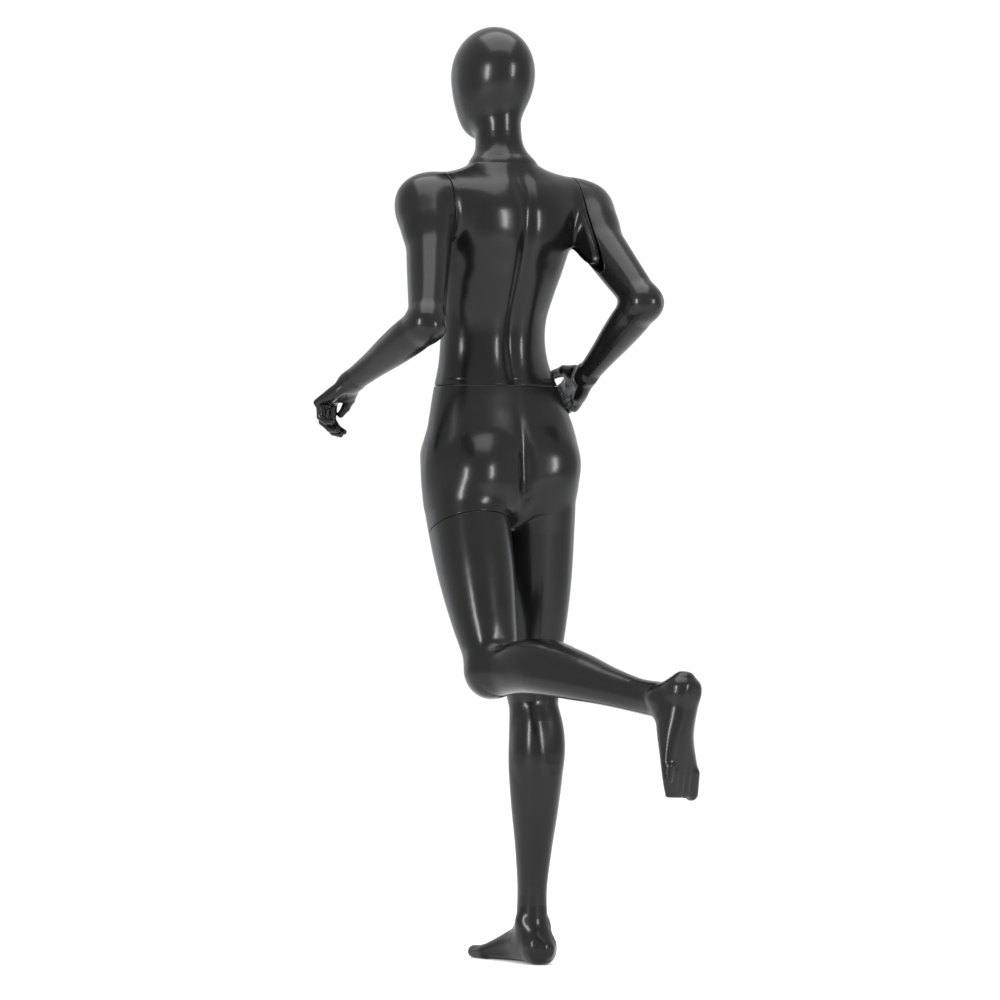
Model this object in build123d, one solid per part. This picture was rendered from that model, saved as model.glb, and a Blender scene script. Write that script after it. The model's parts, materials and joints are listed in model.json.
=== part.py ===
from build123d import *
import os
import time
import numpy as np

# Full body mannequin: hollow moulded shells that come apart at the waist, the shoulders and the left thigh.
# Millimetres, +Z up, the mannequin faces -Y, its left hand is on the +X side.
# Origin: mouth of the base rod socket in the sole of the right foot.

WALL = 4.0            # shell wall
SKIN = 0.3            # the lofts run this far outside the nominal body surface
GAP = 1.6             # open seam between two shells
WAIST_Z = 1158.0      # height of the waist seam
SHOULDER_X = 145.0    # distance of the shoulder seams from the middle
THIGH_D = 84.0        # distance of the left thigh seam below the hip, along the thigh
THIGH_TILT = 22.0     # tilt of that seam, degrees
DECK = 12.0           # thickness of the boards that close the shells
DECK_CLR = 0.35       # gap between a board and the shell
PEG_W = 40.0          # waist peg, square
PEG_DROP = 45.0       # its length below the seam
PEG_CLR = 0.25        # running gap on each side of a peg
ROD_X, ROD_Y = -75.0, 0.0   # base rod socket, in the body's own coordinates
ROD_BORE_R = 6.1      # takes a 12 mm base rod
ROD_TUBE_R = 8.0
ROD_LEN = 120.0       # depth of the socket
TURN_Z, TURN_Y = 1518.0, 20.0   # axis of both shoulder fittings

# ---------- small maths ----------
def smin(a, b, k):
    h = np.clip(0.5 + 0.5 * (b - a) / k, 0, 1)
    return b * (1 - h) + a * h - k * h * (1 - h)

def smax(a, b, k):
    return -smin(-a, -b, k)

def unit(v):
    v = np.asarray(v, float)
    return v / np.linalg.norm(v)

def spline_table(ts, rows, m=241):
    """smooth (monotone-ish cubic Hermite) samples of rows at ts"""
    ts = np.asarray(ts, float); rows = np.asarray(rows, float)
    if rows.ndim == 1: rows = rows[:, None]
    d = np.zeros_like(rows)
    h = np.diff(ts)[:, None]; s = np.diff(rows, axis=0) / h
    d[1:-1] = (s[:-1] * h[1:] + s[1:] * h[:-1]) / (h[:-1] + h[1:])
    d[0] = s[0]; d[-1] = s[-1]
    q = np.linspace(ts[0], ts[-1], m)
    i = np.clip(np.searchsorted(ts, q, side="right") - 1, 0, len(ts) - 2)
    hh = (ts[i + 1] - ts[i])[:, None]; t = ((q - ts[i])[:, None]) / hh
    a = (2*t**3 - 3*t**2 + 1) * rows[i] + (t**3 - 2*t**2 + t) * hh * d[i] + (-2*t**3 + 3*t**2) * rows[i+1] + (t**3 - t**2) * hh * d[i+1]
    return q, a

class Column:
    """stack of level sections: z, yc, half width, front depth, back depth, exponent"""
    def __init__(self, rows, xc=0.0, cap=0.0):
        rows = np.asarray(rows, float)
        o = np.argsort(rows[:, 0]); rows = rows[o]
        self.q, self.t = spline_table(rows[:, 0], rows[:, 1:], 401)
        self.lo, self.hi = rows[0, 0], rows[-1, 0]
    def __call__(self, P):
        z = P[:, 2]
        zc = np.clip(z, self.lo, self.hi)
        c = [np.interp(zc, self.q, self.t[:, k]) for k in range(5)]
        yc, a, bf, bb, n = c
        x = P[:, 0]; y = P[:, 1] - yc
        # smooth switch between front and back depth
        w = 0.5 + 0.5 * np.tanh(y / 0.03)
        b = bf * (1 - w) + bb * w
        e = np.sqrt(x * x + y * y) + 1e-9
        v = ((np.abs(x) / a) ** n + (np.abs(y) / b) ** n) ** (1 / n) + 1e-9
        f = e - e / v
        dz = np.maximum(np.maximum(z - self.hi, self.lo - z), 0)
        return np.where(dz > 0, np.where(f > 0, np.sqrt(f * f + dz * dz), np.maximum(f, dz)), f)

class Tube:
    """limb: axis points, section half sizes (side n+, n-, side b+, b-), smooth along the axis"""
    def __init__(self, pts, secs, ref, segs=28, n=2.2, caps=(1.0, 1.0), knots=None, twist=None):
        pts = np.asarray(pts, float); secs = np.asarray(secs, float)
        L = np.r_[0, np.cumsum(np.linalg.norm(np.diff(pts, axis=0), axis=1))]
        q, c = spline_table(L, pts, segs + 1)
        kn = L if knots is None else np.asarray(knots, float) * L[-1]
        q2, s = spline_table(kn, secs, segs + 1)
        self.c = c; self.s = s; self.n = n
        T = np.gradient(c, axis=0); T /= np.linalg.norm(T, axis=1)[:, None]
        refs = np.asarray(ref, float)
        if refs.ndim == 1: refs = np.repeat(refs[None], segs + 1, 0)
        else:
            u = np.linspace(0, 1, len(refs)); refs = np.stack([np.interp(np.linspace(0, 1, segs + 1), u, refs[:, k]) for k in range(3)], 1)
        N = refs - (refs * T).sum(1)[:, None] * T
        N /= np.linalg.norm(N, axis=1)[:, None]
        self.N = N; self.B = np.cross(T, N); self.T = T
        self.caps = caps; self.L = L[-1]
    def __call__(self, P):
        c = self.c; m = len(c) - 1
        best = np.full(len(P), 1e9); bi = np.zeros(len(P), int); bt = np.zeros(len(P))
        for i in range(m):
            d = c[i + 1] - c[i]; dd = d @ d
            r = P - c[i]
            t = np.clip((r @ d) / dd, 0, 1)
            e = r - t[:, None] * d
            q = (e * e).sum(1)
            k = q < best
            best[k] = q[k]; bi[k] = i; bt[k] = t[k]
        g = bt[:, None]
        def mix(A): return A[bi] * (1 - g) + A[bi + 1] * g
        q = mix(c); N = mix(self.N); B = mix(self.B); T = mix(self.T); S = mix(self.s)
        e = P - q
        x = (e * N).sum(1); y = (e * B).sum(1); t = (e * T).sum(1)
        wx = 0.5 + 0.5 * np.tanh(x / 0.012); wy = 0.5 + 0.5 * np.tanh(y / 0.012)
        a = S[:, 1] * (1 - wx) + S[:, 0] * wx
        b = S[:, 3] * (1 - wy) + S[:, 2] * wy
        n = self.n
        tt = np.abs(t) / (np.maximum(a, b) * np.where(bi == 0, self.caps[0], self.caps[1]))
        ee = np.sqrt(x * x + y * y + t * t) + 1e-9
        v = ((np.abs(x) / a) ** n + (np.abs(y) / b) ** n + tt ** n) ** (1 / n) + 1e-9
        return ee - ee / v

def ell(P, c, r, R=None, n=2.0):
    e = P - np.asarray(c, float)
    if R is not None: e = e @ np.asarray(R, float).T
    q = np.sqrt((e * e).sum(1)) + 1e-9
    v = ((np.abs(e) / np.asarray(r, float)) ** n).sum(1) ** (1 / n) + 1e-9
    return q - q / v

def cone(P, a, b, ra, rb):
    """round cone"""
    a = np.asarray(a, float); b = np.asarray(b, float)
    d = b - a; t = np.clip(((P - a) @ d) / (d @ d), 0, 1)
    e = P - a - t[:, None] * d
    return np.sqrt((e * e).sum(1)) - (ra + (rb - ra) * t)

def gauss(P, c, s, R=None):
    e = P - np.asarray(c, float)
    if R is not None: e = e @ np.asarray(R, float).T
    e = e / np.asarray(s, float)
    return np.exp(-0.5 * (e * e).sum(1))

def frame(z, x):
    """rows x,y,z axes"""
    z = unit(z); x = np.asarray(x, float); x = unit(x - (x @ z) * z)
    return np.array([x, np.cross(z, x), z])

# ---------- trunk ----------
#        z      yc      a      bf     bb     n
TRUNK = [
    (0.876,  0.004, 0.085, 0.040, 0.045, 2.1),
    (0.892,  0.004, 0.125, 0.064, 0.066, 2.1),
    (0.920,  0.004, 0.152, 0.086, 0.092, 2.2),
    (0.960,  0.003, 0.160, 0.098, 0.104, 2.25),
    (1.000,  0.002, 0.163, 0.101, 0.104, 2.3),
    (1.040,  0.000, 0.160, 0.100, 0.100, 2.3),
    (1.080, -0.004, 0.152, 0.096, 0.093, 2.3),
    (1.120, -0.010, 0.140, 0.092, 0.088, 2.3),
    (1.158, -0.017, 0.1285, 0.088, 0.084, 2.3),
    (1.200, -0.026, 0.1150, 0.083, 0.079, 2.3),
    (1.240, -0.030, 0.1090, 0.081, 0.077, 2.3),
    (1.290, -0.026, 0.1080, 0.085, 0.081, 2.3),
    (1.340, -0.014, 0.1160, 0.093, 0.090, 2.35),
    (1.390,  0.000, 0.1270, 0.103, 0.098, 2.4),
    (1.440,  0.012, 0.1370, 0.110, 0.101, 2.4),
    (1.480,  0.018, 0.1420, 0.108, 0.100, 2.4),
    (1.520,  0.022, 0.1430, 0.098, 0.092, 2.4),
    (1.555,  0.020, 0.1250, 0.080, 0.078, 2.3),
    (1.580,  0.014, 0.0850, 0.058, 0.062, 2.2),
    (1.600,  0.008, 0.0550, 0.048, 0.052, 2.1),
]
trunk = Column(TRUNK)

SEAM_X = 0.145
SHO_L = np.array([0.1660, 0.0200, 1.5180]); SHO_R = np.array([-0.1650, 0.0220, 1.5150])
ELB_L = np.array([0.2541, 0.1764, 1.2712]); WRI_L = np.array([0.3093, -0.0456, 1.1632])
ELB_R = np.array([-0.1971, 0.2350, 1.3190]); WRI_R = np.array([-0.1738, 0.0414, 1.1792])
HIP_L = np.array([0.0840, 0.0000, 0.9500]); HIP_R = np.array([-0.0780, 0.0000, 0.9550])
KNE_L = np.array([0.1130, 0.1834, 0.6020]); ANK_L = np.array([-0.0137, 0.6302, 0.5582])
KNE_R = np.array([-0.0797, -0.0086, 0.5642]); ANK_R = np.array([-0.0749, 0.0002, 0.0767])

neck = Tube([(0, 0.012, 1.545), (0, 0.004, 1.60), (0, -0.006, 1.65), (0, -0.012, 1.70), (0, -0.016, 1.75)],
            [(0.066, 0.066, 0.066, 0.066), (0.053, 0.053, 0.055, 0.055), (0.0455, 0.0455, 0.051, 0.051), (0.0455, 0.0455, 0.053, 0.053), (0.048, 0.048, 0.055, 0.055)],
            (1, 0, 0), segs=16, n=2.0)

def head(P):
    c = np.array([0, -0.027, 1.790])
    f = ell(P, c, (0.0765, 0.098, 0.0885))
    f = smin(f, ell(P, (0, -0.036, 1.757), (0.0700, 0.084, 0.090)), 0.03)
    # jaw and chin
    f = smin(f, ell(P, (0, -0.060, 1.724), (0.050, 0.059, 0.060)), 0.03)
    f = smin(f, ell(P, (0, -0.084, 1.692), (0.024, 0.028, 0.025)), 0.04)
    return f

def shoulder_link(P, side):
    s = 1 if side == "l" else -1
    S = SHO_L if side == "l" else SHO_R
    x = (P[:, 0] * s - 0.05) / 0.12
    a = Tube([(s * 0.085, 0.022, 1.522), (s * 0.145, 0.021, 1.520), (S[0] + s * 0.012, S[1], S[2] - 0.004)],
             [(0.053, 0.062, 0.052, 0.055), (0.054, 0.058, 0.054, 0.056), (0.054, 0.056, 0.054, 0.054)], (0, 0, 1), segs=8, n=2.15)
    return a(P)

_LK = {}
def link(P, side):
    if side not in _LK:
        s = 1 if side == "l" else -1
        S = SHO_L if side == "l" else SHO_R
        _LK[side] = Tube([(s * 0.085, 0.022, 1.520), (s * 0.145, 0.021, 1.519), (S[0] + s * 0.014, S[1], S[2] - 0.004)],
             [(0.053, 0.066, 0.055, 0.055), (0.055, 0.060, 0.055, 0.055), (0.056, 0.056, 0.054, 0.054)], (0, 0, 1), segs=8, n=2.15)
    return _LK[side](P)

def trap(P):
    f = None
    for s in (1, -1):
        g = cone(P, (s * 0.022, 0.016, 1.566), (s * 0.135, 0.022, 1.534), 0.040, 0.031)
        f = g if f is None else np.minimum(f, g)
    return f

def trunk_details(P):
    """raised and hollow areas, in metres, positive is out"""
    x = np.abs(P[:, 0]); Q = P.copy(); Q[:, 0] = x
    d = 0
    # front: chest, rib edge, abdomen
    d = d + 0.0130 * gauss(Q, (0.066, -0.090, 1.458), (0.042, 0.05, 0.030))
    d = d - 0.0050 * gauss(Q, (0.0, -0.10, 1.460), (0.010, 0.05, 0.045))
    d = d - 0.0045 * gauss(Q, (0.060, -0.100, 1.402), (0.05, 0.05, 0.012))
    d = d - 0.0035 * gauss(Q, (0.0, -0.11, 1.27), (0.009, 0.05, 0.085))
    d = d + 0.0035 * gauss(Q, (0.034, -0.11, 1.355), (0.022, 0.05, 0.020))
    d = d + 0.0030 * gauss(Q, (0.033, -0.11, 1.300), (0.021, 0.05, 0.018))
    d = d + 0.0028 * gauss(Q, (0.032, -0.11, 1.245), (0.020, 0.05, 0.020))
    d = d + 0.0030 * gauss(Q, (0.030, -0.10, 1.140), (0.026, 0.05, 0.045))
    d = d - 0.0045 * gauss(Q, (0.0, -0.105, 1.195), (0.006, 0.03, 0.007))
    d = d + 0.0035 * gauss(Q, (0.045, -0.03, 1.578), (0.045, 0.012, 0.008))   # collar bone
    d = d - 0.0060 * gauss(Q, (0.0, -0.075, 1.578), (0.012, 0.03, 0.012))
    # back: spine channel, shoulder blades, long back muscles
    d = d - 0.0085 * gauss(Q, (0.0, 0.10, 1.40), (0.0105, 0.06, 0.125))
    d = d - 0.0050 * gauss(Q, (0.0, 0.07, 1.245), (0.009, 0.06, 0.06))
    d = d + 0.0050 * gauss(Q, (0.070, 0.11, 1.475), (0.036, 0.06, 0.042))
    d = d - 0.0040 * gauss(Q, (0.055, 0.11, 1.405), (0.030, 0.06, 0.018))
    d = d + 0.0040 * gauss(Q, (0.036, 0.06, 1.245), (0.018, 0.05, 0.09))
    d = d - 0.0030 * gauss(Q, (0.080, 0.08, 1.240), (0.016, 0.06, 0.07))
    d = d - 0.0040 * gauss(Q, (0.012, 0.10, 1.555), (0.010, 0.05, 0.03))
    return d

def upper_full(P):
    f = trunk(P)
    f = smin(f, trap(P), 0.045)
    f = smin(f, link(P, "l"), 0.035)
    f = smin(f, link(P, "r"), 0.035)
    f = smin(f, neck(P), 0.035)
    f = f - trunk_details(P)
    h = head(P)
    return smin(f, h, 0.016)

# ---------- arms ----------
class Arm:
    def __init__(self, side, sho, elb, wri):
        s = 1 if side == "l" else -1
        self.side, self.s, self.sho, self.elb, self.wri = side, s, sho, elb, wri
        back = unit(-(unit(sho - elb) + unit(wri - elb)))
        self.back = back
        a = sho; b = elb; c = wri
        def L(p, q, t): return p + (q - p) * t
        #          back, front, side, side
        self.up = Tube([a, L(a, b, 0.28), L(a, b, 0.55), L(a, b, 0.85), b],
                       [(0.047, 0.047, 0.048, 0.048), (0.0455, 0.0455, 0.046, 0.0435), (0.042, 0.0445, 0.041, 0.039), (0.038, 0.038, 0.0365, 0.0345), (0.035, 0.033, 0.0365, 0.0345)], back, segs=20, n=2.1)
        self.fo = Tube([b, L(b, c, 0.16), L(b, c, 0.42), L(b, c, 0.72), L(b, c, 0.95), c],
                       [(0.033, 0.033, 0.0365, 0.0345), (0.035, 0.036, 0.040, 0.0365), (0.032, 0.0335, 0.036, 0.0335), (0.0255, 0.0260, 0.027, 0.0260), (0.0205, 0.0205, 0.0245, 0.0245), (0.0195, 0.0195, 0.025, 0.025)], back, segs=22, n=2.1)
        self.ud, self.fd = unit(elb - sho), unit(wri - elb)
        out = np.array([s, 0, 0.0]); self.out = unit(out - (out @ self.ud) * self.ud)
        self.R = frame(self.ud, self.out)
    def upper(self, P):
        return smin(self.up(P), ell(P, self.sho + self.ud * 0.030 + self.out * 0.010, (0.050, 0.054, 0.080), self.R), 0.03)
    def __call__(self, P):
        f = smin(self.upper(P), self.fo(P), 0.018)
        # point of the elbow
        return smin(f, ell(P, self.elb + self.back * 0.026 + self.fd * 0.004, (0.013, 0.013, 0.018), frame(self.fd, self.back)), 0.014)

class Hand:
    """o wrist, f direction of the palm, p palm normal (side the fingers curl to), left/right"""
    def __init__(self, o, f, p, side, curl, thumb=None, k=1.0):
        f = unit(f); p = np.asarray(p, float); p = unit(p - (p @ f) * f)
        t = np.cross(p, f) if side == "l" else np.cross(f, p)
        self.o, self.f, self.p, self.t, self.k = o, f, p, t, k
        self.fingers = []
        #        across   along   lengths                 radii
        base = [(0.0290, 0.088, (0.043, 0.025, 0.021), (0.0098, 0.0088, 0.0080, 0.0066)),
                (0.0100, 0.093, (0.047, 0.029, 0.022), (0.0100, 0.0090, 0.0082, 0.0068)),
                (-0.0090, 0.090, (0.043, 0.027, 0.021), (0.0096, 0.0086, 0.0078, 0.0065)),
                (-0.0265, 0.083, (0.034, 0.020, 0.019), (0.0086, 0.0077, 0.0070, 0.0060))]
        for j, (ax, al, ln, rr) in enumerate(base):
            c = curl[j]
            q = np.array([ax, al, 0.0]); a = 0.0; spread = ax * 1.6
            pts = [self.w(q)]
            for m in range(3):
                a += c[m]
                d = np.array([np.sin(spread) * np.cos(a), np.cos(spread) * np.cos(a), np.sin(a)])
                q = q + d * ln[m]; pts.append(self.w(q))
            self.fingers.append((pts, [r * k for r in rr]))
        q = [np.array([0.024, 0.022, 0.008]), np.array([0.043, 0.050, 0.017]), np.array([0.052, 0.080, 0.024]), np.array([0.053, 0.103, 0.030])]
        if thumb is not None:
            q = [np.array(v, float) for v in thumb]
        self.thumb = ([self.w(v) for v in q], [0.0165 * k, 0.0125 * k, 0.0098 * k, 0.0078 * k])
    def w(self, q):
        return self.o + (q[0] * self.t + q[1] * self.f + q[2] * self.p) * self.k
    def local(self, P):
        e = (P - self.o) / self.k
        return np.stack([e @ self.t, e @ self.f, e @ self.p], 1)
    def __call__(self, P):
        Q = self.local(P)
        # palm: narrow at the wrist, wide at the knuckles
        g = np.clip(Q[:, 1] / 0.085, 0, 1)
        a = 0.0265 + 0.0150 * np.sin(g * np.pi / 2)
        b = 0.0190 - 0.0065 * g
        x = Q[:, 0]; z = Q[:, 2] - 0.002 * (1 - g)
        y = np.maximum(np.maximum(Q[:, 1] - 0.084, -0.012 - Q[:, 1]), 0)
        e = np.sqrt(x * x + z * z + y * y) + 1e-9
        v = ((np.abs(x) / a) ** 2.7 + (np.abs(z) / b) ** 2.7 + (y / 0.014) ** 2.7) ** (1 / 2.7) + 1e-9
        f = e - e / v
        # heel of the thumb and of the little finger
        f = smin(f, ell(Q, (0.021, 0.038, 0.009), (0.017, 0.031, 0.014)), 0.010)
        f = smin(f, ell(Q, (-0.024, 0.036, 0.006), (0.013, 0.032, 0.013)), 0.010)
        f = f + 0.003 * gauss(Q, (0, 0.052, 0.018), (0.012, 0.02, 0.01)) * 1.0
        f = f * self.k
        for pts, rr in self.fingers:
            g = None
            for m in range(3):
                h = cone(P, pts[m], pts[m + 1], rr[m], rr[m + 1])
                g = h if g is None else smin(g, h, 0.002)
            f = smin(f, g, 0.005)
        pts, rr = self.thumb
        g = None
        for m in range(3):
            h = cone(P, pts[m], pts[m + 1], rr[m], rr[m + 1])
            g = h if g is None else smin(g, h, 0.003)
        return smin(f, g, 0.008)

# ---------- legs ----------
class Leg:
    def __init__(self, side, hip, kne, ank, fwd_thigh, fwd_shin):
        self.side = side; s = 1 if side == "l" else -1
        self.s = s
        def L(p, q, t): return p + (q - p) * t
        pts = [L(hip, kne, -0.18), hip, L(hip, kne, 0.25), L(hip, kne, 0.5), L(hip, kne, 0.75), L(hip, kne, 0.93), kne]
        #        front, back, lateral.. (side +x*s), medial
        secs = [(0.070, 0.080, 0.074, 0.070), (0.088, 0.096, 0.076, 0.078), (0.089, 0.088, 0.076, 0.078), (0.080, 0.079, 0.072, 0.071), (0.066, 0.064, 0.062, 0.060), (0.056, 0.053, 0.0515, 0.052), (0.056, 0.047, 0.050, 0.051)]
        # B = T x N : with T down and N forward(-y): (0,0,-1)x(0,-1,0) = (-1,0,0)
        def order(r):
            f, b, la, me = r
            return (f, b, me, la) if s > 0 else (f, b, la, me)
        self.th = Tube(pts, [order(r) for r in secs], fwd_thigh, segs=20, n=2.15)
        off = unit(kne - hip)
        pts = [kne, L(kne, ank, 0.07), L(kne, ank, 0.2), L(kne, ank, 0.32), L(kne, ank, 0.5), L(kne, ank, 0.7), L(kne, ank, 0.88), ank]
        sh = np.asarray(fwd_shin, float)
        bow = [0, -0.002, -0.006, -0.007, -0.005, 0.0, 0.004, 0.004]
        sd = unit(ank - kne); nf = unit(sh - (sh @ sd) * sd)
        pts = [p + nf * b for p, b in zip(pts, bow)]
        secs = [(0.055, 0.047, 0.050, 0.051), (0.050, 0.046, 0.0485, 0.0485), (0.044, 0.0585, 0.0525, 0.052), (0.042, 0.064, 0.0545, 0.0545), (0.039, 0.056, 0.047, 0.048), (0.034, 0.040, 0.036, 0.0355), (0.033, 0.032, 0.0285, 0.0285), (0.036, 0.034, 0.0315, 0.0315)]
        self.sh = Tube(pts, [order(r) for r in secs], fwd_shin, segs=24, n=2.1)
        self.hip, self.kne, self.ank = hip, kne, ank
        self.fs = nf; self.sd = sd
        lat = np.cross(nf, sd)
        if lat[0] * s < 0 and side == "r": lat = -lat
        lat = unit(np.cross(sd, nf)) * (-1 if side == "l" else 1)
        # sd x nf for T down N forward = -x -> that is lateral for the right leg
        self.lat = lat
        self.R = np.array([nf, lat, sd])
        tf = np.asarray(fwd_thigh, float); td = unit(kne - hip); tf = unit(tf - (tf @ td) * td)
        self.tf, self.td = tf, td
    def shin(self, P):
        k, fs, sd, lat = self.kne, self.fs, self.sd, self.lat
        f = self.sh(P)
        # calf heads
        R = np.array([fs, lat, sd])
        f = smin(f, ell(P, k + sd * 0.135 - fs * 0.030 - lat * 0.017, (0.036, 0.030, 0.085), R), 0.02)
        f = smin(f, ell(P, k + sd * 0.120 - fs * 0.030 + lat * 0.018, (0.034, 0.028, 0.080), R), 0.02)
        # ankle bones
        f = smin(f, ell(P, self.ank - sd * 0.000 + lat * 0.0245 + fs * -0.002, (0.014, 0.0105, 0.016), R), 0.012)
        f = smin(f, ell(P, self.ank - sd * 0.008 - lat * 0.0245 + fs * 0.002, (0.014, 0.0105, 0.016), R), 0.012)
        return f
    def __call__(self, P):
        k, fs, sd, lat = self.kne, self.fs, self.sd, self.lat
        R = np.array([fs, lat, sd])
        f = smin(self.th(P), self.shin(P), 0.020)
        # knee cap
        kc = k + unit(self.tf + fs) * 0.030
        f = smin(f, ell(P, kc, (0.022, 0.024, 0.030), frame(sd, fs)), 0.020)
        # hollow behind the knee
        f = f + 0.004 * gauss(P, k - unit(self.tf + fs) * 0.052 - self.td * 0.0, (0.02, 0.014, 0.035), R)
        return f

class Foot:
    """a under the ankle on the sole plane, fwd toe direction, up, lateral"""
    def __init__(self, sole, fwd, up, lat):
        self.o = sole; self.fwd = unit(fwd); up = np.asarray(up, float); self.up = unit(up - (up @ self.fwd) * self.fwd)
        self.lat = lat if abs(np.dot(lat, self.fwd)) < 1e-6 else unit(lat - (lat @ self.fwd) * self.fwd)
        self.lat = unit(self.lat - (self.lat @ self.up) * self.up)
        #        y      xc      zc     side lat, med, up, down   (foot coordinates: x lateral, y toe, z up)
        ys = [-0.047, -0.038, -0.020, 0.0, 0.030, 0.065, 0.100, 0.130, 0.155, 0.172]
        self.tab = np.array([
            # xc, zc, lat, med, up, down
            (0.000, 0.030, 0.012, 0.012, 0.012, 0.014),
            (0.000, 0.032, 0.026, 0.026, 0.026, 0.026),
            (0.000, 0.034, 0.032, 0.032, 0.040, 0.034),
            (0.000, 0.036, 0.033, 0.034, 0.048, 0.036),
            (0.001, 0.033, 0.035, 0.034, 0.048, 0.033),
            (0.002, 0.027, 0.040, 0.034, 0.040, 0.027),
            (0.001, 0.021, 0.044, 0.038, 0.029, 0.021),
            (0.000, 0.016, 0.046, 0.043, 0.020, 0.016),
            (0.000, 0.012, 0.044, 0.043, 0.014, 0.012),
            (0.000, 0.010, 0.040, 0.042, 0.010, 0.010)])
        self.ys, self.tt = spline_table(ys, self.tab, 121)
        self.y0, self.y1 = ys[0], ys[-1]
        # toes: lateral x, start y, end y, radius, height
        self.toes = [(-0.0300, 0.150, 0.184, 0.0145, 0.0125), (-0.0070, 0.152, 0.1820, 0.0098, 0.0105), (0.0095, 0.150, 0.1755, 0.0092, 0.0100), (0.0245, 0.145, 0.1670, 0.0088, 0.0095), (0.0380, 0.136, 0.1550, 0.0086, 0.0090)]
    def local(self, P):
        e = P - self.o
        return np.stack([e @ self.lat, e @ self.fwd, e @ self.up], 1)
    def __call__(self, P):
        Q = self.local(P)
        y = np.clip(Q[:, 1], self.y0, self.y1)
        c = [np.interp(y, self.ys, self.tt[:, k]) for k in range(6)]
        x = Q[:, 0] - c[0]; z = Q[:, 2] - c[1]; dy = np.abs(Q[:, 1] - y)
        wx = 0.5 + 0.5 * np.tanh(x / 0.01); wz = 0.5 + 0.5 * np.tanh(z / 0.006)
        a = c[3] * (1 - wx) + c[2] * wx; b = c[5] * (1 - wz) + c[4] * wz
        e = np.sqrt(x * x + z * z) + 1e-9
        n = 2.3
        v = ((np.abs(x) / a) ** n + (np.abs(z) / b) ** n) ** (1 / n) + 1e-9
        f = e - e / v
        f = np.where(dy > 0, np.sqrt(np.maximum(f, 0) ** 2 + dy * dy) + np.minimum(f, 0), f)
        # heel ball
        f = smin(f, ell(Q, (0, -0.020, 0.032), (0.0325, 0.0345, 0.034)), 0.012)
        # arch on the inner side
        f = f + 0.010 * gauss(Q, (-0.030, 0.055, -0.002), (0.016, 0.032, 0.013))
        for tx, y0, y1, r, h in self.toes:
            g = cone(Q, (tx * 0.96, y0 - 0.012, h + 0.001), (tx, y1 - 0.008, h - 0.001), r * 1.02, r * 0.93)
            f = smin(f, g, 0.0035)
        for i in range(4):
            tx = (self.toes[i][0] + self.toes[i + 1][0]) / 2 + (0.0025 if i == 0 else 0)
            yy = (self.toes[i][1] + self.toes[i + 1][1]) / 2 + 0.006
            f = f + (0.005 if i == 0 else 0.003) * gauss(Q, (tx, yy, 0.018), (0.0022, 0.014, 0.010))
        # flat sole
        return smax(f, -Q[:, 2], 0.005)

armL = Arm("l", SHO_L, ELB_L, WRI_L); armR = Arm("r", SHO_R, ELB_R, WRI_R)
curl_l = [(0.85, 0.85, 0.5), (0.92, 0.92, 0.5), (0.98, 0.98, 0.5), (1.05, 1.0, 0.5)]
handL = Hand(WRI_L + unit(WRI_L - ELB_L) * 0.004, np.array([0.0277, -0.0714, -0.0440]), np.array([-0.1945, 0.2733, -0.8500]), "l", curl_l, thumb=[(0.022, 0.022, 0.008), (0.035, 0.048, 0.018), (0.038, 0.071, 0.027), (0.034, 0.090, 0.034)], k=0.86)
curl_r = [(0.22, 0.5, 0.35), (0.22, 0.5, 0.35), (0.24, 0.52, 0.35), (0.28, 0.55, 0.35)]
handR = Hand(WRI_R + unit(WRI_R - ELB_R) * 0.004, (-0.06, -0.86, -0.42), (0.95, -0.05, -0.1), "r", curl_r, k=0.92)
legL = Leg("l", HIP_L, KNE_L, ANK_L, np.array([-0.0252, -1.0059, 0.0000]), unit(-np.array([0, 0, 1.0])))
legR = Leg("r", HIP_R, KNE_R, ANK_R, (0, -1, 0), (0, -1, 0))
footR = Foot(np.array([ANK_R[0], ANK_R[1] + 0.004, 0.0]), (0.10, -1, 0), (0, 0, 1), (-1, 0, 0))
shl = unit(ANK_L - KNE_L)
FL_F = unit(np.array([0.0648, -0.0911, -1.0000])); FL_U = -unit(shl - (shl @ FL_F) * FL_F)
FL_LAT = np.cross(FL_F, FL_U)
footL = Foot(ANK_L - FL_U * 0.078, FL_F, FL_U, -FL_LAT)

def glutes(P):
    f = None
    for s in (1, -1):
        g = ell(P, (s * 0.074, 0.052, 0.985), (0.074, 0.070, 0.082))
        f = g if f is None else smin(f, g, 0.012)
    return f

def tilted(P):
    s = np.clip((1.150 - P[:, 2]) / 0.09, 0, 1); s = s * s * (3 - 2 * s)
    Q = P.copy(); Q[:, 2] = P[:, 2] + 0.11 * P[:, 0] * s
    return Q

def pelvis(P):
    P = tilted(P)
    f = trunk(P)
    f = smin(f, glutes(P), 0.025)
    Q = P.copy(); Q[:, 0] = np.abs(Q[:, 0])
    f = f + 0.010 * gauss(Q, (0, 0.125, 0.985), (0.008, 0.04, 0.06))
    f = f + 0.006 * gauss(Q, (0.135, 0.03, 0.985), (0.03, 0.035, 0.04))
    f = smin(f, ell(P, (0, -0.072, 0.925), (0.042, 0.046, 0.055)), 0.03)
    return f

# ---------------------------------------------------------------- lofting
t_start = time.time()
os.makedirs("parts", exist_ok=True)
MM = 1000.0


def note(*a):
    print("%6.1f s" % (time.time() - t_start), *a, flush=True)


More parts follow.
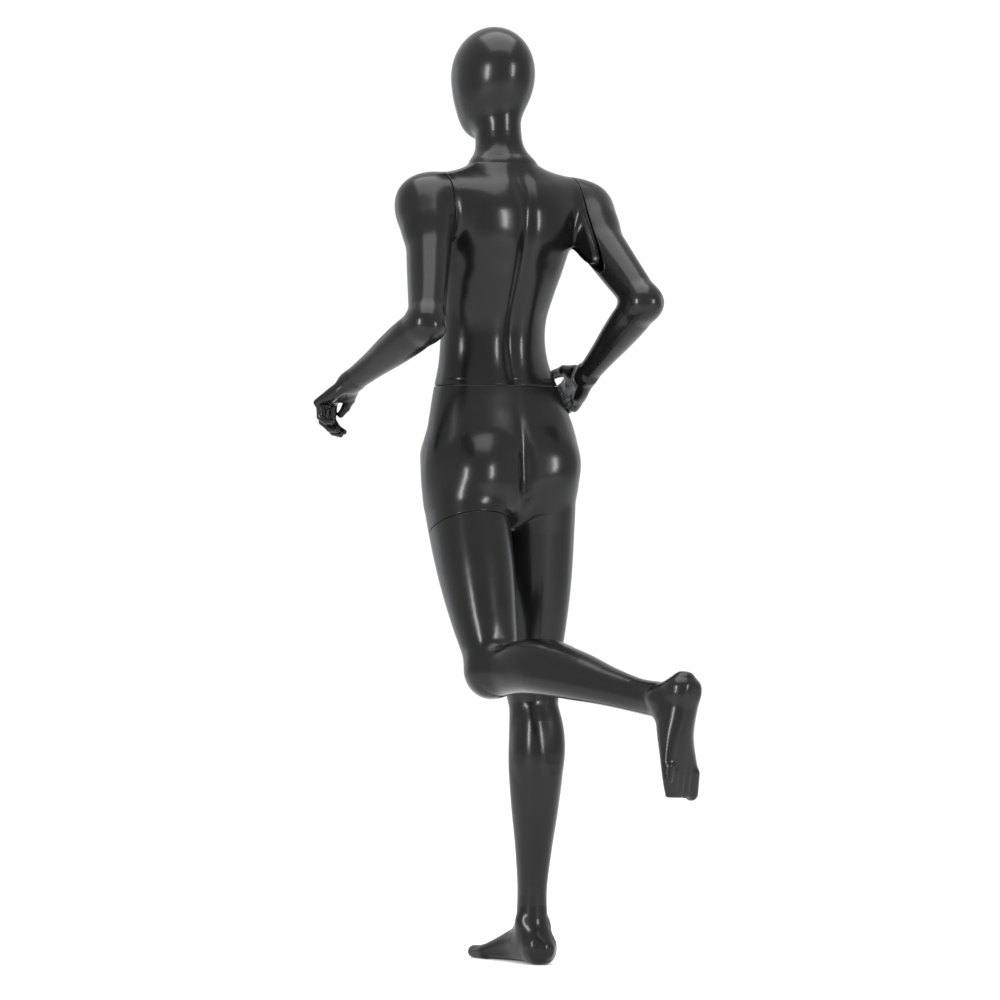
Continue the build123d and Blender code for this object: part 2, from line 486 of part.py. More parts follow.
def ring(fn, c, e1, e2, level, n=28, rmax=0.24, squash=1.0):
    """closed outline of fn = level (mm) in the plane through c"""
    th = np.arange(n) * 2 * np.pi / n
    D = np.outer(np.cos(th), e1) + np.outer(np.sin(th), e2) * squash
    rr = np.arange(0.001, rmax, 0.003)
    P = c + rr[None, :, None] * D[:, None, :]
    F = fn(P.reshape(-1, 3)).reshape(n, -1) - level / MM
    if np.any(F[:, 0] > -0.0005):
        return None
    k = np.argmax(F > 0, axis=1)
    if np.any(k == 0):
        raise ValueError("open outline at %s" % c)
    lo, hi = rr[k - 1], rr[k]
    for _ in range(16):
        m = (lo + hi) / 2
        f = fn(c + m[:, None] * D) - level / MM
        lo = np.where(f < 0, m, lo); hi = np.where(f < 0, hi, m)
    return c + ((lo + hi) / 2)[:, None] * D


def skin(rings):
    ws = []
    for r in rings:
        if r is None:
            continue
        ws.append(Wire([Edge.make_spline([Vector(*(p * MM)) for p in r], periodic=True)]))
    return Solid.make_loft(ws, ruled=False)


def along(fn, a, d, ts, e1, level, n=24, off=None, squash=1.0):
    """loft across a straight axis: sections at distances ts (m) from a along d"""
    d = unit(d); e1 = np.asarray(e1, float); e1 = unit(e1 - (e1 @ d) * d); e2 = np.cross(d, e1)
    rings = []
    for t in ts:
        c = a + d * t
        if off is not None:
            c = c + off(t)
        rings.append(ring(fn, c, e1, e2, level, n, squash=squash))
    return skin(rings)


def fuse(*ss):
    a = ss[0]
    for b in ss[1:]:
        a = a.fuse(b)
    return a


def grow(a, b, what=""):
    """a with b added, tried again a hair off when the kernel drops something"""
    va = a.volume
    for k, d in enumerate([(0, 0, 0), (0.11, 0.07, -0.05), (-0.09, 0.12, 0.08), (0.05, -0.13, 0.1), (0.15, 0.15, 0.15), (-0.2, 0.1, -0.15)]):
        try:
            q = a.fuse(b.moved(Location(d)))
            so = list(q.solids())
            if len(so) == 1 and so[0].volume > va * 0.9999 and so[0].is_valid:
                return so[0]
        except Exception as ex:
            note(what, "try", k, ex)
    note("dropped", what)
    return a


def one(shape, what=""):
    """the largest solid of a result"""
    so = list(shape.solids())
    if not so:
        raise ValueError("nothing left of " + what)
    so.sort(key=lambda q: -q.volume)
    if len(so) > 1:
        note(what, "keeps the largest of", len(so), [round(q.volume) for q in so[:5]])
    return so[0]


def box(x0, x1, y0, y1, z0, z1):
    return Solid.make_box(x1 - x0, y1 - y0, z1 - z0).moved(Location((x0, y0, z0)))


def boxc(w, d, h, z0=0.0):
    return box(-w / 2, w / 2, -d / 2, d / 2, z0, z0 + h)


def cyl(r, h, z0=0.0, x=0.0, y=0.0):
    return Solid.make_cylinder(r, h).moved(Location((x, y, z0)))


def group(solids):
    return list(solids)


def save(name, shape):
    shift = Location((-ROD_X, -ROD_Y, 0))
    if isinstance(shape, list):
        shape = Compound([q.moved(shift) for q in shape])
    else:
        shape = shape.moved(shift)
    shape.label = name
    export_step(shape, "parts/%s.step" % name)
    bb = shape.bounding_box()
    note("%-24s vol %9.0f  x %.1f..%.1f y %.1f..%.1f z %.1f..%.1f" % (name, shape.volume, bb.min.X, bb.max.X, bb.min.Y, bb.max.Y, bb.min.Z, bb.max.Z))


EX, EY, EZ = np.eye(3)
# ---------------------------------------------------------------- torso, neck and head


def torso_fn(P):
    f = trunk(P)
    f = smin(f, trap(P), 0.045)
    f = smin(f, neck(P), 0.035)
    f = f - trunk_details(P)
    return smin(f, head(P), 0.016)


TOP = 1.0
zs = np.arange(1.80, 1.95, 0.0002)
TOP_Z = float(zs[np.argmax(head(np.stack([zs * 0, zs * 0 - 0.027, zs], 1)) > 0)])
NECK_ZS = [(1.1588, -0.017), (1.166, -0.019), (1.175, -0.021), (1.185, -0.023), (1.200, -0.026), (1.215, -0.028), (1.245, -0.029), (1.280, -0.026), (1.315, -0.02), (1.345, -0.012), (1.375, -0.003), (1.405, 0.004),
           (1.435, 0.010), (1.462, 0.014), (1.485, 0.017), (1.505, 0.018), (1.522, 0.018), (1.537, 0.017), (1.550, 0.016), (1.562, 0.014), (1.574, 0.012), (1.586, 0.010),
           (1.600, 0.006), (1.620, 0.002), (1.640, -0.003), (1.656, -0.008), (1.666, -0.014), (1.675, -0.022), (1.686, -0.030), (1.700, -0.032), (1.720, -0.032), (1.745, -0.030),
           (1.775, -0.028), (1.805, -0.027), (1.830, -0.027), (1.848, -0.027), (1.862, -0.027), (1.871, -0.027), (TOP_Z - 0.0035, -0.027), (TOP_Z - 0.0009, -0.027)]


def stack(fn, zy, level, x=0.0, n=32, squash=0.8):
    return skin([ring(fn, np.array([x, y, z]), EX, EY, level, n, squash=squash) for z, y in zy])


note("torso")
torso_out = stack(torso_fn, NECK_ZS, SKIN)
# flat crown so that the height is exact
torso_out = torso_out.fuse(Solid.make_cone(9.0, 4.0, 1.2).moved(Location((0, -27, TOP_Z * MM - 1.2))))
inner_zs = [(1.150, -0.015), (1.1585, -0.017)] + NECK_ZS[1:-4]
torso_in = stack(torso_fn, inner_zs, -WALL)
note("torso lofts", torso_out.volume, torso_in.volume)
SX = SHOULDER_X / MM


def link_loft(side, x0, x1, level, step=0.012):
    s = 1 if side == "l" else -1
    xs = np.linspace(x0, x1, max(4, int(abs(x1 - x0) / step) + 1))
    fn = (lambda P: link(P, "l")) if side == "l" else (lambda P: link(P, "r"))
    return along(fn, np.array([0, 0.021, 1.518]), EX * s, xs, EZ, level, n=20)


half = SHOULDER_X - GAP / 2
keep = box(-half, half, -400, 400, 1100, 1950)
outer = torso_out.fuse(link_loft("l", 0.070, 0.160, SKIN)).fuse(link_loft("r", 0.070, 0.160, SKIN)).intersect(keep)
note("torso outer fused")
inner = torso_in.fuse(link_loft("l", 0.065, 0.165, -WALL)).fuse(link_loft("r", 0.065, 0.165, -WALL))
note("torso inner fused")
if not hasattr(outer, "cut"):
    outer = one(outer, "torso outer")
upper_body = one(outer.cut(inner), "upper_body")
save("upper_body", upper_body)

# ---------------------------------------------------------------- pelvis and right leg


def hips_fn(P):
    f = pelvis(P)
    return smin(smin(f, legR.th(P), 0.02), legL.th(P), 0.02)


hip_zy = [(0.888, 0.004), (0.898, 0.004), (0.915, 0.006), (0.935, 0.008), (0.955, 0.008), (0.975, 0.008), (0.995, 0.008), (1.015, 0.006), (1.040, 0.003), (1.065, 0.0),
          (1.090, -0.004), (1.115, -0.008), (1.132, -0.011), (1.145, -0.014), (1.1572, -0.016)]
hips_out = stack(hips_fn, hip_zy, SKIN)
hips_in = stack(hips_fn, [(0.896, 0.004)] + hip_zy[2:-1] + [(1.157, -0.016), (1.166, -0.017)], -WALL)
note("hip lofts")
A = ANK_R - KNE_R


def rleg_c(z):
    pts = np.array([HIP_R, KNE_R, ANK_R])[::-1]
    return np.array([np.interp(z, pts[:, 2], pts[:, 0]), np.interp(z, pts[:, 2], pts[:, 1]), z])


def rleg_loft(zs, lev, n=24):
    return skin([ring(legR, rleg_c(z), EX, EY, (lev if z < 0.889 else min(lev, -1.5 + (lev if lev < 0 else 0))), n) for z in zs])


ZL = [0.925, 0.905, 0.880, 0.850, 0.810, 0.770, 0.730, 0.695, 0.660, 0.630, 0.605, 0.585, 0.565, 0.545, 0.525, 0.500, 0.475, 0.445, 0.415, 0.380, 0.340, 0.300, 0.260, 0.220, 0.180, 0.145, 0.115, 0.092, 0.075, 0.060, 0.048]
rleg_out = rleg_loft(ZL, SKIN)
rleg_in = rleg_loft([z for z in ZL if z > 0.11], -WALL)
note("right leg lofts")


def foot_loft(ft, level=SKIN):
    """heel to toes; the toes are run together here into one rounded front"""
    ys = [-0.0495, -0.046, -0.040, -0.032, -0.022, -0.010, 0.005, 0.022, 0.040, 0.060, 0.080, 0.100, 0.118, 0.134, 0.147, 0.158, 0.167, 0.174, 0.180, 0.185]

    def plain(P):
        Q = ft.local(P)
        y = np.clip(Q[:, 1], ft.y0, ft.y1)
        c = [np.interp(y, ft.ys, ft.tt[:, k]) for k in range(6)]
        x = Q[:, 0] - c[0]; z = Q[:, 2] - c[1]; dy = np.abs(Q[:, 1] - y)
        wx = 0.5 + 0.5 * np.tanh(x / 0.01); wz = 0.5 + 0.5 * np.tanh(z / 0.006)
        a = c[3] * (1 - wx) + c[2] * wx; b = c[5] * (1 - wz) + c[4] * wz
        e = np.sqrt(x * x + z * z) + 1e-9
        v = ((np.abs(x) / a) ** 2.3 + (np.abs(z) / b) ** 2.3) ** (1 / 2.3) + 1e-9
        f = e - e / v
        f = np.where(dy > 0, np.sqrt(np.maximum(f, 0) ** 2 + dy * dy) + np.minimum(f, 0), f)
        f = smin(f, ell(Q, (0, -0.020, 0.032), (0.0325, 0.0345, 0.034)), 0.012)
        f = f + 0.010 * gauss(Q, (-0.030, 0.055, -0.002), (0.016, 0.032, 0.013))
        for tx, y0, y1, r, h in ft.toes:
            f = smin(f, cone(Q, (tx * 0.96, y0 - 0.012, h + 0.001), (tx, y1 - 0.008, h - 0.001), r * 1.02, r * 0.93), 0.010)
        return smax(f, -Q[:, 2], 0.005)

    th = np.arange(28) * 2 * np.pi / 28
    gx, gz = np.meshgrid(np.arange(-0.066, 0.066, 0.0006), np.arange(-0.004, 0.050, 0.0006), indexing="ij")
    rings = []
    for y in ys:
        if y < 0.140:
            c = ft.o + ft.fwd * y + ft.up * np.interp(y, [-0.05, 0.0, 0.06, 0.10, 0.14], [0.030, 0.030, 0.022, 0.014, 0.0115])
            rings.append(ring(plain, c, ft.lat, ft.up, level, 28, rmax=0.15, squash=0.6))
            continue
        f = plain(ft.o + ft.fwd * y + gx.reshape(-1, 1) * ft.lat + gz.reshape(-1, 1) * ft.up) - level / MM
        f = f.reshape(gx.shape)
        ix = np.where((f < 0).any(axis=1))[0]; iz = np.where((f < 0).any(axis=0))[0]
        x0, x1, z0, z1 = gx[ix[0], 0], gx[ix[-1], 0], gz[0, iz[0]], gz[0, iz[-1]]
        co, si = np.cos(th), np.sin(th)
        k = (np.abs(co) ** 2.4 + np.abs(si) ** 2.4) ** (-1 / 2.4)
        c = ft.o + ft.fwd * y + ft.lat * (x0 + x1) / 2 + ft.up * (z0 + z1) / 2
        rings.append(c + (co * k * (x1 - x0) / 2)[:, None] * ft.lat + (si * k * (z1 - z0) / 2)[:, None] * ft.up)
    return skin(rings)


def pt(v):
    return Vector(*(np.asarray(v) * MM))


def ball(c, r):
    return Solid.make_sphere(r * MM).moved(Location(tuple(np.asarray(c) * MM)))


def rod(a, b, ra, rb, over=0.0):
    a = np.asarray(a, float); b = np.asarray(b, float); d = unit(b - a)
    h = np.linalg.norm(b - a)
    p = Plane(origin=tuple(a * MM), z_dir=tuple(d))
    if abs(ra - rb) < 1e-6:
        return Solid.make_cylinder(ra * MM, h * MM, plane=p)
    return Solid.make_cone(ra * MM, rb * MM, h * MM, plane=p)


def plane_box(o, up, w=900.0, h=900.0):
    """half space on the side of up"""
    p = Plane(origin=tuple(np.asarray(o)), z_dir=tuple(unit(up)))
    return Solid.make_box(w, w, h, plane=p).moved(Location(tuple((-p.x_dir * w / 2 - p.y_dir * w / 2))))


footR_out = foot_loft(footR)
note("right foot loft", footR_out.volume)
solid_foot = one(one(footR_out, "foot").cut(box(-400, 400, -400, 400, -60, 0.0)), "right foot")
note("right foot valid", solid_foot.is_valid)
note("right foot fused", solid_foot.volume)

# the left thigh seam
tilt = np.radians(THIGH_TILT)
flat = unit(np.array([legL.td[0], legL.td[1], 0.0]))
SEAM_N = np.array([0.0, 0.0, -np.cos(tilt)]) + flat * np.sin(tilt)      # points down the leg
SEAM_C = (HIP_L + legL.td * (THIGH_D / MM)) * MM
seam_x = unit(EX - (EX @ SEAM_N) * SEAM_N)


def thigh_loft(ts, level, lev_top=None, t_top=0.0, n=24):
    fn = legL.th
    rings = []
    e1 = unit(EX - (EX @ legL.td) * legL.td); e2 = np.cross(legL.td, e1)
    for t in ts:
        lv = level if (lev_top is None or t > t_top) else lev_top
        rings.append(ring(fn, HIP_L + legL.td * t, e1, e2, lv, n))
    return skin(rings)


stub_out = thigh_loft([-0.005, 0.02, 0.045, 0.07, 0.10, 0.13, 0.16], SKIN + 1.0, -1.5, 0.03)
stub_in = thigh_loft([-0.012, 0.015, 0.045, 0.07, 0.10, 0.13, 0.16], -WALL, -WALL - 1.5, 0.03)
below = plane_box(SEAM_C - SEAM_N * GAP / 2, SEAM_N)
below = below.intersect(box(3.0, 400, -400, 600, 0, 1150))
below = one(below, "seam cutter")
low_out = hips_out.fuse(stub_out)
low_out = one(low_out.cut(below), "hips cut at the thigh")
note("hips cut")
note("hips cut valid", low_out.is_valid, rleg_out.is_valid)
lower_limb = grow(rleg_out, solid_foot, "foot on leg")
note("leg and foot", lower_limb.is_valid)
low_out = grow(low_out, lower_limb, "leg on hips")
note("lower outer fused", low_out.volume, low_out.is_valid)
low_in = grow(grow(hips_in, stub_in, "stub inside"), rleg_in, "leg inside")
note("lower inner valid", low_in.is_valid)
lower = one(low_out.cut(low_in), "lower shell")
note("lower hollow", lower.volume, lower.is_valid)
rod_hole = cyl(ROD_TUBE_R + 0.05, ROD_LEN + 30, -20, ROD_X, ROD_Y)
lower_body = one(lower.cut(rod_hole), "lower_body")
note("lower body valid", lower_body.is_valid)
save("lower_body", lower_body)

# ---------------------------------------------------------------- left leg
above = plane_box(SEAM_C + SEAM_N * GAP / 2, -SEAM_N)
LT = float(np.linalg.norm(KNE_L - HIP_L)); LS = float(np.linalg.norm(ANK_L - KNE_L))
th_ts = [0.03, 0.06, 0.09, 0.12, 0.16, 0.20, 0.24, 0.28, 0.32, 0.355, LT - 0.012, LT, LT + 0.014, LT + 0.026, LT + 0.036, LT + 0.042, LT + 0.046]
thigh_out = thigh_loft(th_ts, SKIN)
thigh_in = thigh_loft(th_ts[:-2], -WALL)


def knee_shin(P):
    return legL.shin(P)


e1s = legL.fs
sh_ts = [-0.042, -0.037, -0.028, -0.015, 0.0, 0.02, 0.045, 0.07, 0.10, 0.13, 0.16, 0.20, 0.24, 0.28, 0.32, 0.36, 0.395, 0.42, LS - 0.02, LS, LS + 0.014, LS + 0.024]
bow_off = None
shin_out = along(knee_shin, KNE_L, legL.sd, sh_ts, e1s, SKIN)
shin_in = along(knee_shin, KNE_L, legL.sd, sh_ts[1:-5], e1s, -WALL)
kcap = Solid.make_sphere(1.0)
kc = KNE_L + unit(legL.tf + legL.fs) * 0.030
cap = ball(KNE_L + unit(legL.tf + legL.fs) * 0.024, 0.031)
note("left leg lofts")
leg_out = grow(grow(thigh_out, shin_out, "shin on thigh"), cap, "knee cap")
footL_out = foot_loft(footL)
lf = one(footL_out, "foot")
sole_cut = plane_box(footL.o * MM, -footL.up, 600, 200)
lf = one(lf.cut(sole_cut), "left foot")
note("left foot fused", lf.volume)
leg_out = grow(leg_out, lf, "left foot on leg")
leg_out = one(leg_out.cut(above), "left leg cut")
leg_in = grow(thigh_in, shin_in, "left leg inside")
note("left leg outer, inner valid", leg_out.is_valid, leg_in.is_valid)
left_leg = one(leg_out.cut(leg_in), "left_leg")
note("left leg valid", left_leg.is_valid)
save("left_leg", left_leg)

# ---------------------------------------------------------------- arms


def palm_fn(h):
    def f(P):
        Q = h.local(P)
        g = np.clip(Q[:, 1] / 0.085, 0, 1)
        a = 0.0265 + 0.0150 * np.sin(g * np.pi / 2); b = 0.0190 - 0.0065 * g
        x = Q[:, 0]; z = Q[:, 2] - 0.002 * (1 - g)
        y = np.maximum(np.maximum(Q[:, 1] - 0.084, -0.012 - Q[:, 1]), 0)
        e = np.sqrt(x * x + z * z + y * y) + 1e-9
        v = ((np.abs(x) / a) ** 2.7 + (np.abs(z) / b) ** 2.7 + (y / 0.014) ** 2.7) ** (1 / 2.7) + 1e-9
        f0 = e - e / v
        f0 = smin(f0, ell(Q, (0.021, 0.038, 0.009), (0.017, 0.031, 0.014)), 0.010)
        f0 = smin(f0, ell(Q, (-0.024, 0.036, 0.006), (0.013, 0.032, 0.013)), 0.010)
        return f0 * h.k
    return f


def hand_solid(h):
    k = h.k
    palm = along(palm_fn(h), h.o, h.f, np.array([-0.018, -0.012, -0.002, 0.012, 0.028, 0.044, 0.060, 0.074, 0.084, 0.090, 0.0945]) * k, h.t, SKIN, n=22, squash=0.5)
    a = one(palm, "palm")
    for pts, rr in h.fingers + [h.thumb]:
        f = ball(pts[0], rr[0] + 0.0003)
        for m in range(3):
            f = grow(f, rod(pts[m], pts[m + 1], rr[m], rr[m + 1]), "finger")
            f = grow(f, ball(pts[m + 1], rr[m + 1] + 0.0003), "finger")
        a = grow(a, f, "whole finger")
    return a


def arm(side, A, H):
    s = A.s
    LU = float(np.linalg.norm(A.elb - A.sho)); LF = float(np.linalg.norm(A.wri - A.elb))
    up_ts = [-0.043, -0.036, -0.024, -0.008, 0.012, 0.035, 0.06, 0.09, 0.12, 0.155, 0.19, 0.22, LU - 0.03, LU - 0.01, LU + 0.008, LU + 0.020, LU + 0.028, LU + 0.032]
    up_out = along(A.upper, A.sho, A.ud, up_ts, A.out, SKIN, n=22)
    up_in = along(A.upper, A.sho, A.ud, up_ts[1:-2], A.out, -WALL, n=22)
    fo_ts = [-0.031, -0.027, -0.019, -0.007, 0.008, 0.025, 0.045, 0.07, 0.10, 0.13, 0.16, 0.19, 0.215, LF - 0.012, LF + 0.002, LF + 0.010]
    fo_out = along(A.fo, A.elb, A.fd, fo_ts, A.back, SKIN, n=20)
    fo_in = along(A.fo, A.elb, A.fd, fo_ts[1:-4], A.back, -WALL, n=20)
    note(side, "arm lofts")
    ln_out = link_loft(side, 0.130, 0.185, SKIN)
    ln_in = link_loft(side, 0.125, 0.180, -WALL)
    out = up_out.fuse(ln_out)
    out = one(out.fuse(fo_out), side + " arm outer")
    out = out.fuse(ball(A.elb + A.back * 0.020 + A.fd * 0.004, 0.0185))
    out = one(out, side + " arm outer")
    hs = one(hand_solid(H), side + " hand")
    note(side, "hand", hs.volume)
    out = one(out.fuse(hs), side + " arm with hand")
    x = SHOULDER_X + GAP / 2
    cut = box(-400, x, -500, 700, 800, 1700) if s > 0 else box(-x, 400, 0, 700, 800, 1700)
    lim = box(-x, x, -400, 400, 1380, 1640)
    out = one(out.cut(lim), side + " arm cut")
    inn = one(up_in.fuse(ln_in).fuse(fo_in), side + " arm inner")
    return one(out.cut(inn), side + "_arm")


left_arm = arm("l", armL, handL)
save("left_arm", left_arm)
right_arm = arm("r", armR, handR)
save("right_arm", right_arm)

# ---------------------------------------------------------------- fittings
WC = -17.0                       # the waist fitting sits on the middle of the waist section


def outline(fn, c, e1, e2, level=-WALL - DECK_CLR, n=32, squash=0.8):
    return ring(fn, c, e1, e2, level, n, squash=squash)


def holes(solid, cutters):
    for c in cutters:
        solid = solid.cut(c)
    return one(solid, "board")


def screw_down(x, y, z, length, head_r=4.0, head_h=2.4, r=2.0):
    """pan head above z, shank below"""
    return cyl(head_r, head_h, z, x, y).fuse(cyl(r, length, z - length, x, y)).solids()[0]


def screw_up(x, y, z, length, head_r=4.0, head_h=2.4, r=2.0):
    return cyl(head_r, head_h, z - head_h, x, y).fuse(cyl(r, length, z, x, y)).solids()[0]


def sq_tube(outer, inner, z0, z1, cy=0.0, chamfer=2.0):
    t = boxc(outer, outer, z1 - z0, z0)
    t = chamfer_vertical(t, chamfer)
    if inner > 0:
        t = t.cut(boxc(inner, inner, z1 - z0 + 4, z0 - 2)).solids()[0]
    return t


def chamfer_vertical(t, c):
    es = [e for e in t.edges() if abs(e.tangent_at(0.5).Z) > 0.99]
    return t.chamfer(c, None, es)


def ring_plate(w, th, z0, hole):
    p = boxc(w, w, th, z0)
    p = p.fillet(6.0, [e for e in p.edges() if abs(e.tangent_at(0.5).Z) > 0.99])
    return p.cut(boxc(hole, hole, th + 4, z0 - 2)).solids()[0]


SQ = [(1, 1), (-1, 1), (-1, -1), (1, -1)]
at_waist = Location((0, WC, 0))
zw = WAIST_Z
up_rings = [outline(torso_fn, np.array([0, WC / MM, z / MM]), EX, EY) for z in (zw + 0.1, zw + 0.1 + DECK / 2, zw + 0.1 + DECK)]
dn_rings = [outline(hips_fn, np.array([0, WC / MM, z / MM]), EX, EY) for z in (zw - 0.1 - DECK, zw - 0.1 - DECK / 2, zw - 0.1)]
dowel_x = 88.0
up_deck = holes(skin(up_rings), [boxc(PEG_W + 0.8, PEG_W + 0.8, 40, zw - 10).moved(at_waist)] +
                [cyl(5.3, 40, zw - 10, q * dowel_x, WC) for q in (1, -1)] +
                [cyl(2.05, 9.0, zw + DECK + 0.1 - 8.9, a * 32, WC + b * 32) for a, b in SQ])
save("waist_deck_upper", up_deck)
dn_deck = holes(skin(dn_rings), [boxc(PEG_W + 11.2, PEG_W + 11.2, 40, zw - 30).moved(at_waist)] +
                [cyl(5.03, 40, zw - 30, q * dowel_x, WC) for q in (1, -1)] +
                [cyl(2.05, 9.5, zw - DECK - 0.6, a * 33, WC + b * 33) for a, b in SQ])
save("waist_deck_lower", dn_deck)
zt = zw + 0.1 + DECK
peg = sq_tube(PEG_W, 0, zw - PEG_DROP, zt + 5.0)
peg = peg.chamfer(2.5, None, [e for e in peg.edges() if abs(e.center().Z - (zw - PEG_DROP)) < 0.01])
peg = peg.fuse(ring_plate(78.0, 5.0, zt, PEG_W - 4)).solids()[0]
peg = peg.cut(boxc(PEG_W - 10, PEG_W - 10, 200, zw - PEG_DROP + 4)).solids()[0]
for a, b in SQ:
    peg = peg.cut(cyl(2.2, 12, zt - 2, a * 32, b * 32)).solids()[0]
save("waist_peg", peg.moved(at_waist))
save("waist_peg_screws", group([screw_down(a * 32, b * 32, zt + 5.0, 13.0).moved(at_waist) for a, b in SQ]))
zb = zw - 0.1 - DECK
inner_w = PEG_W + 2 * PEG_CLR
sock = sq_tube(inner_w + 10, 0, zw - 62.0, zw - 0.6)
sock = sock.fuse(ring_plate(84.0, 5.0, zb - 5.0, inner_w + 4)).solids()[0]
hole = boxc(inner_w, inner_w, 100, zw - 58.0)
hole = chamfer_vertical(hole, 1.6)
sock = sock.cut(hole).solids()[0]
for a, b in SQ:
    sock = sock.cut(cyl(2.2, 12, zb - 7, a * 33, b * 33)).solids()[0]
save("waist_socket", sock.moved(at_waist))
save("waist_socket_screws", group([screw_up(a * 33, b * 33, zb - 5.0, 13.0).moved(at_waist) for a, b in SQ]))


def dowel(x, y, z0, z1, r=5.0):
    d = cyl(r, z1 - z0, z0, x, y)
    return d.chamfer(1.0, None, [e for e in d.edges() if e.geom_type == GeomType.CIRCLE])


save("waist_dowels", group([dowel(q * dowel_x, WC, zb + 0.5, zw + 10.0) for q in (1, -1)]))

# shoulders
for side, s in (("left", 1), ("right", -1)):
    lk = (lambda P: link(P, "l")) if s > 0 else (lambda P: link(P, "r"))
    org = np.array([s * SX, TURN_Y / MM, TURN_Z / MM])
    pl = Plane(origin=tuple(org * MM), x_dir=(0, 1, 0), z_dir=(s, 0, 0))
    loc = Location(pl)

    def put(name, shape):
        save("%s_%s" % (side, name), shape.moved(loc) if not isinstance(shape, list) else [q.moved(loc) for q in shape])

    def board(z0, z1):
        rings = [ring(lk, org + EX * s * z / MM, EY, EZ * s, -WALL - DECK_CLR, 24) for z in (z0, (z0 + z1) / 2, z1)]
        return skin(rings)

    def polar(r, a):
        return r * np.cos(np.radians(a)), r * np.sin(np.radians(a))

    A3, A3b = (90, 210, 330), (30, 150, 270)
    # torso side
    b = board(-14.8, -4.8)
    cs = [cyl(13.8, 40, -30).moved(loc)] + [cyl(2.05, 9.0, -13.0, *polar(29, a)).moved(loc) for a in A3]
    save("%s_shoulder_deck" % side, holes(b, cs))
    p = cyl(38.0, 3.0, -4.8).fuse(cyl(13.5, 10.5, -14.8)).solids()[0]
    p = p.cut(cyl(10.05, 40, -30)).solids()[0]
    for a in A3:
        x, y = polar(29, a)
        p = p.cut(Solid.make_cone(2.2, 4.4, 2.2).moved(Location((x, y, -4.0)))).solids()[0]
        p = p.cut(cyl(2.2, 6, -6, x, y)).solids()[0]
    put("shoulder_plate", p)
    sc = []
    for a in A3:
        x, y = polar(29, a)
        sc.append(Solid.make_cone(2.0, 4.1, 2.1).moved(Location((x, y, -4.0))).fuse(cyl(2.0, 8.9, -12.8, x, y)).solids()[0])
    put("shoulder_plate_screws", sc)
    sw = cyl(22.0, 5.0, -1.4)
    sw = sw.fuse(cyl(10.0, 13.9, -15.2)).solids()[0]
    sw = sw.fuse(cyl(6.0, 7.0, -22.0)).solids()[0]
    stud = boxc(16.0, 16.0, 18.6, 3.4)
    stud = chamfer_vertical(stud, 1.0)
    stud = stud.chamfer(0.7, None, [e for e in stud.edges() if abs(e.center().Z - 22.0) < 0.01])
    sw = sw.fuse(stud).solids()[0]
    put("swivel", sw)
    put("swivel_washer", cyl(17.0, 2.4, -17.7).cut(cyl(6.05, 6, -19)).solids()[0])
    nut = Solid.extrude(Face(Wire.make_polygon([Vector(10.0 * np.cos(q * np.pi / 3), 10.0 * np.sin(q * np.pi / 3), -21.2) for q in range(6)], close=True)), Vector(0, 0, 3.4))
    put("swivel_nut", nut.cut(cyl(6.05, 12, -26)).solids()[0])
    # arm side
    b = board(5.0, 15.0)
    h17 = boxc(17.0, 17.0, 30, -5).moved(loc)
    cs = [h17] + [cyl(2.05, 8.2, 7.0, a * 19, c * 19).moved(loc) for a, c in SQ] + [cyl(6.05, 6.2, 3.0, *polar(31, a)).moved(loc) for a in A3b]
    save("%s_arm_deck" % side, holes(b, cs))
    p = ring_plate(50.0, 3.0, 15.0, 16.4)
    for a, c in SQ:
        p = p.cut(cyl(2.2, 8, 13, a * 19, c * 19)).solids()[0]
    put("arm_plate", p)
    put("arm_plate_screws", [screw_down(a * 19, c * 19, 18.0, 10.8) for a, c in SQ])
    mg = []
    for a in A3b:
        x, y = polar(31, a)
        m = cyl(6.0, 10.3, -1.2, x, y)
        mg.append(m.chamfer(0.5, None, [e for e in m.edges() if e.geom_type == GeomType.CIRCLE]))
    put("arm_magnets", mg)

# left thigh
pl = Plane(origin=tuple(SEAM_C), x_dir=tuple(seam_x), z_dir=tuple(-SEAM_N))
loc = Location(pl)
ty = np.cross(-SEAM_N, seam_x)


def thigh_board(z0, z1):
    return skin([ring(legL.th, SEAM_C / MM - SEAM_N * z / MM, seam_x, ty, -WALL - DECK_CLR, 28) for z in (z0, (z0 + z1) / 2, z1)])


def put(name, shape):
    save(name, [q.moved(loc) for q in shape] if isinstance(shape, list) else shape.moved(loc))


MAG = [(46, 0), (-46, 0)]
b = thigh_board(0.1, 0.1 + DECK)
cs = [boxc(43.0, 43.0, 60, -20)] + [cyl(2.05, 9.5, 4.0, a * 28, c * 28) for a, c in SQ] + [cyl(8.05, 5.0, -2.7, x, y) for x, y in MAG]
save("thigh_deck_upper", holes(b, [c.moved(loc) for c in cs]))
b = thigh_board(-0.1 - DECK, -0.1)
cs = [boxc(32.8, 32.8, 60, -30)] + [cyl(2.05, 9.5, -13.5, a * 27, c * 27) for a, c in SQ] + [cyl(8.05, 12.0, -6.3, x, y) for x, y in MAG]
save("thigh_deck_lower", holes(b, [c.moved(loc) for c in cs]))
zt = 0.1 + DECK
sock = sq_tube(42.0, 0, 0.5, 54.0)
sock = sock.fuse(ring_plate(70.0, 4.0, zt, 38.0)).solids()[0]
hole = chamfer_vertical(boxc(32.5, 32.5, 70, -20.0), 1.6)
sock = sock.cut(hole).solids()[0]
for a, c in SQ:
    sock = sock.cut(cyl(2.2, 12, zt - 2, a * 28, c * 28)).solids()[0]
put("thigh_socket", sock)
put("thigh_socket_screws", [screw_down(a * 28, c * 28, zt + 4.0, 12.0) for a, c in SQ])
zb = -0.1 - DECK
peg = sq_tube(32.0, 0, zb - 4.0, 40.0)
peg = peg.chamfer(2.5, None, [e for e in peg.edges() if abs(e.center().Z - 40.0) < 0.01])
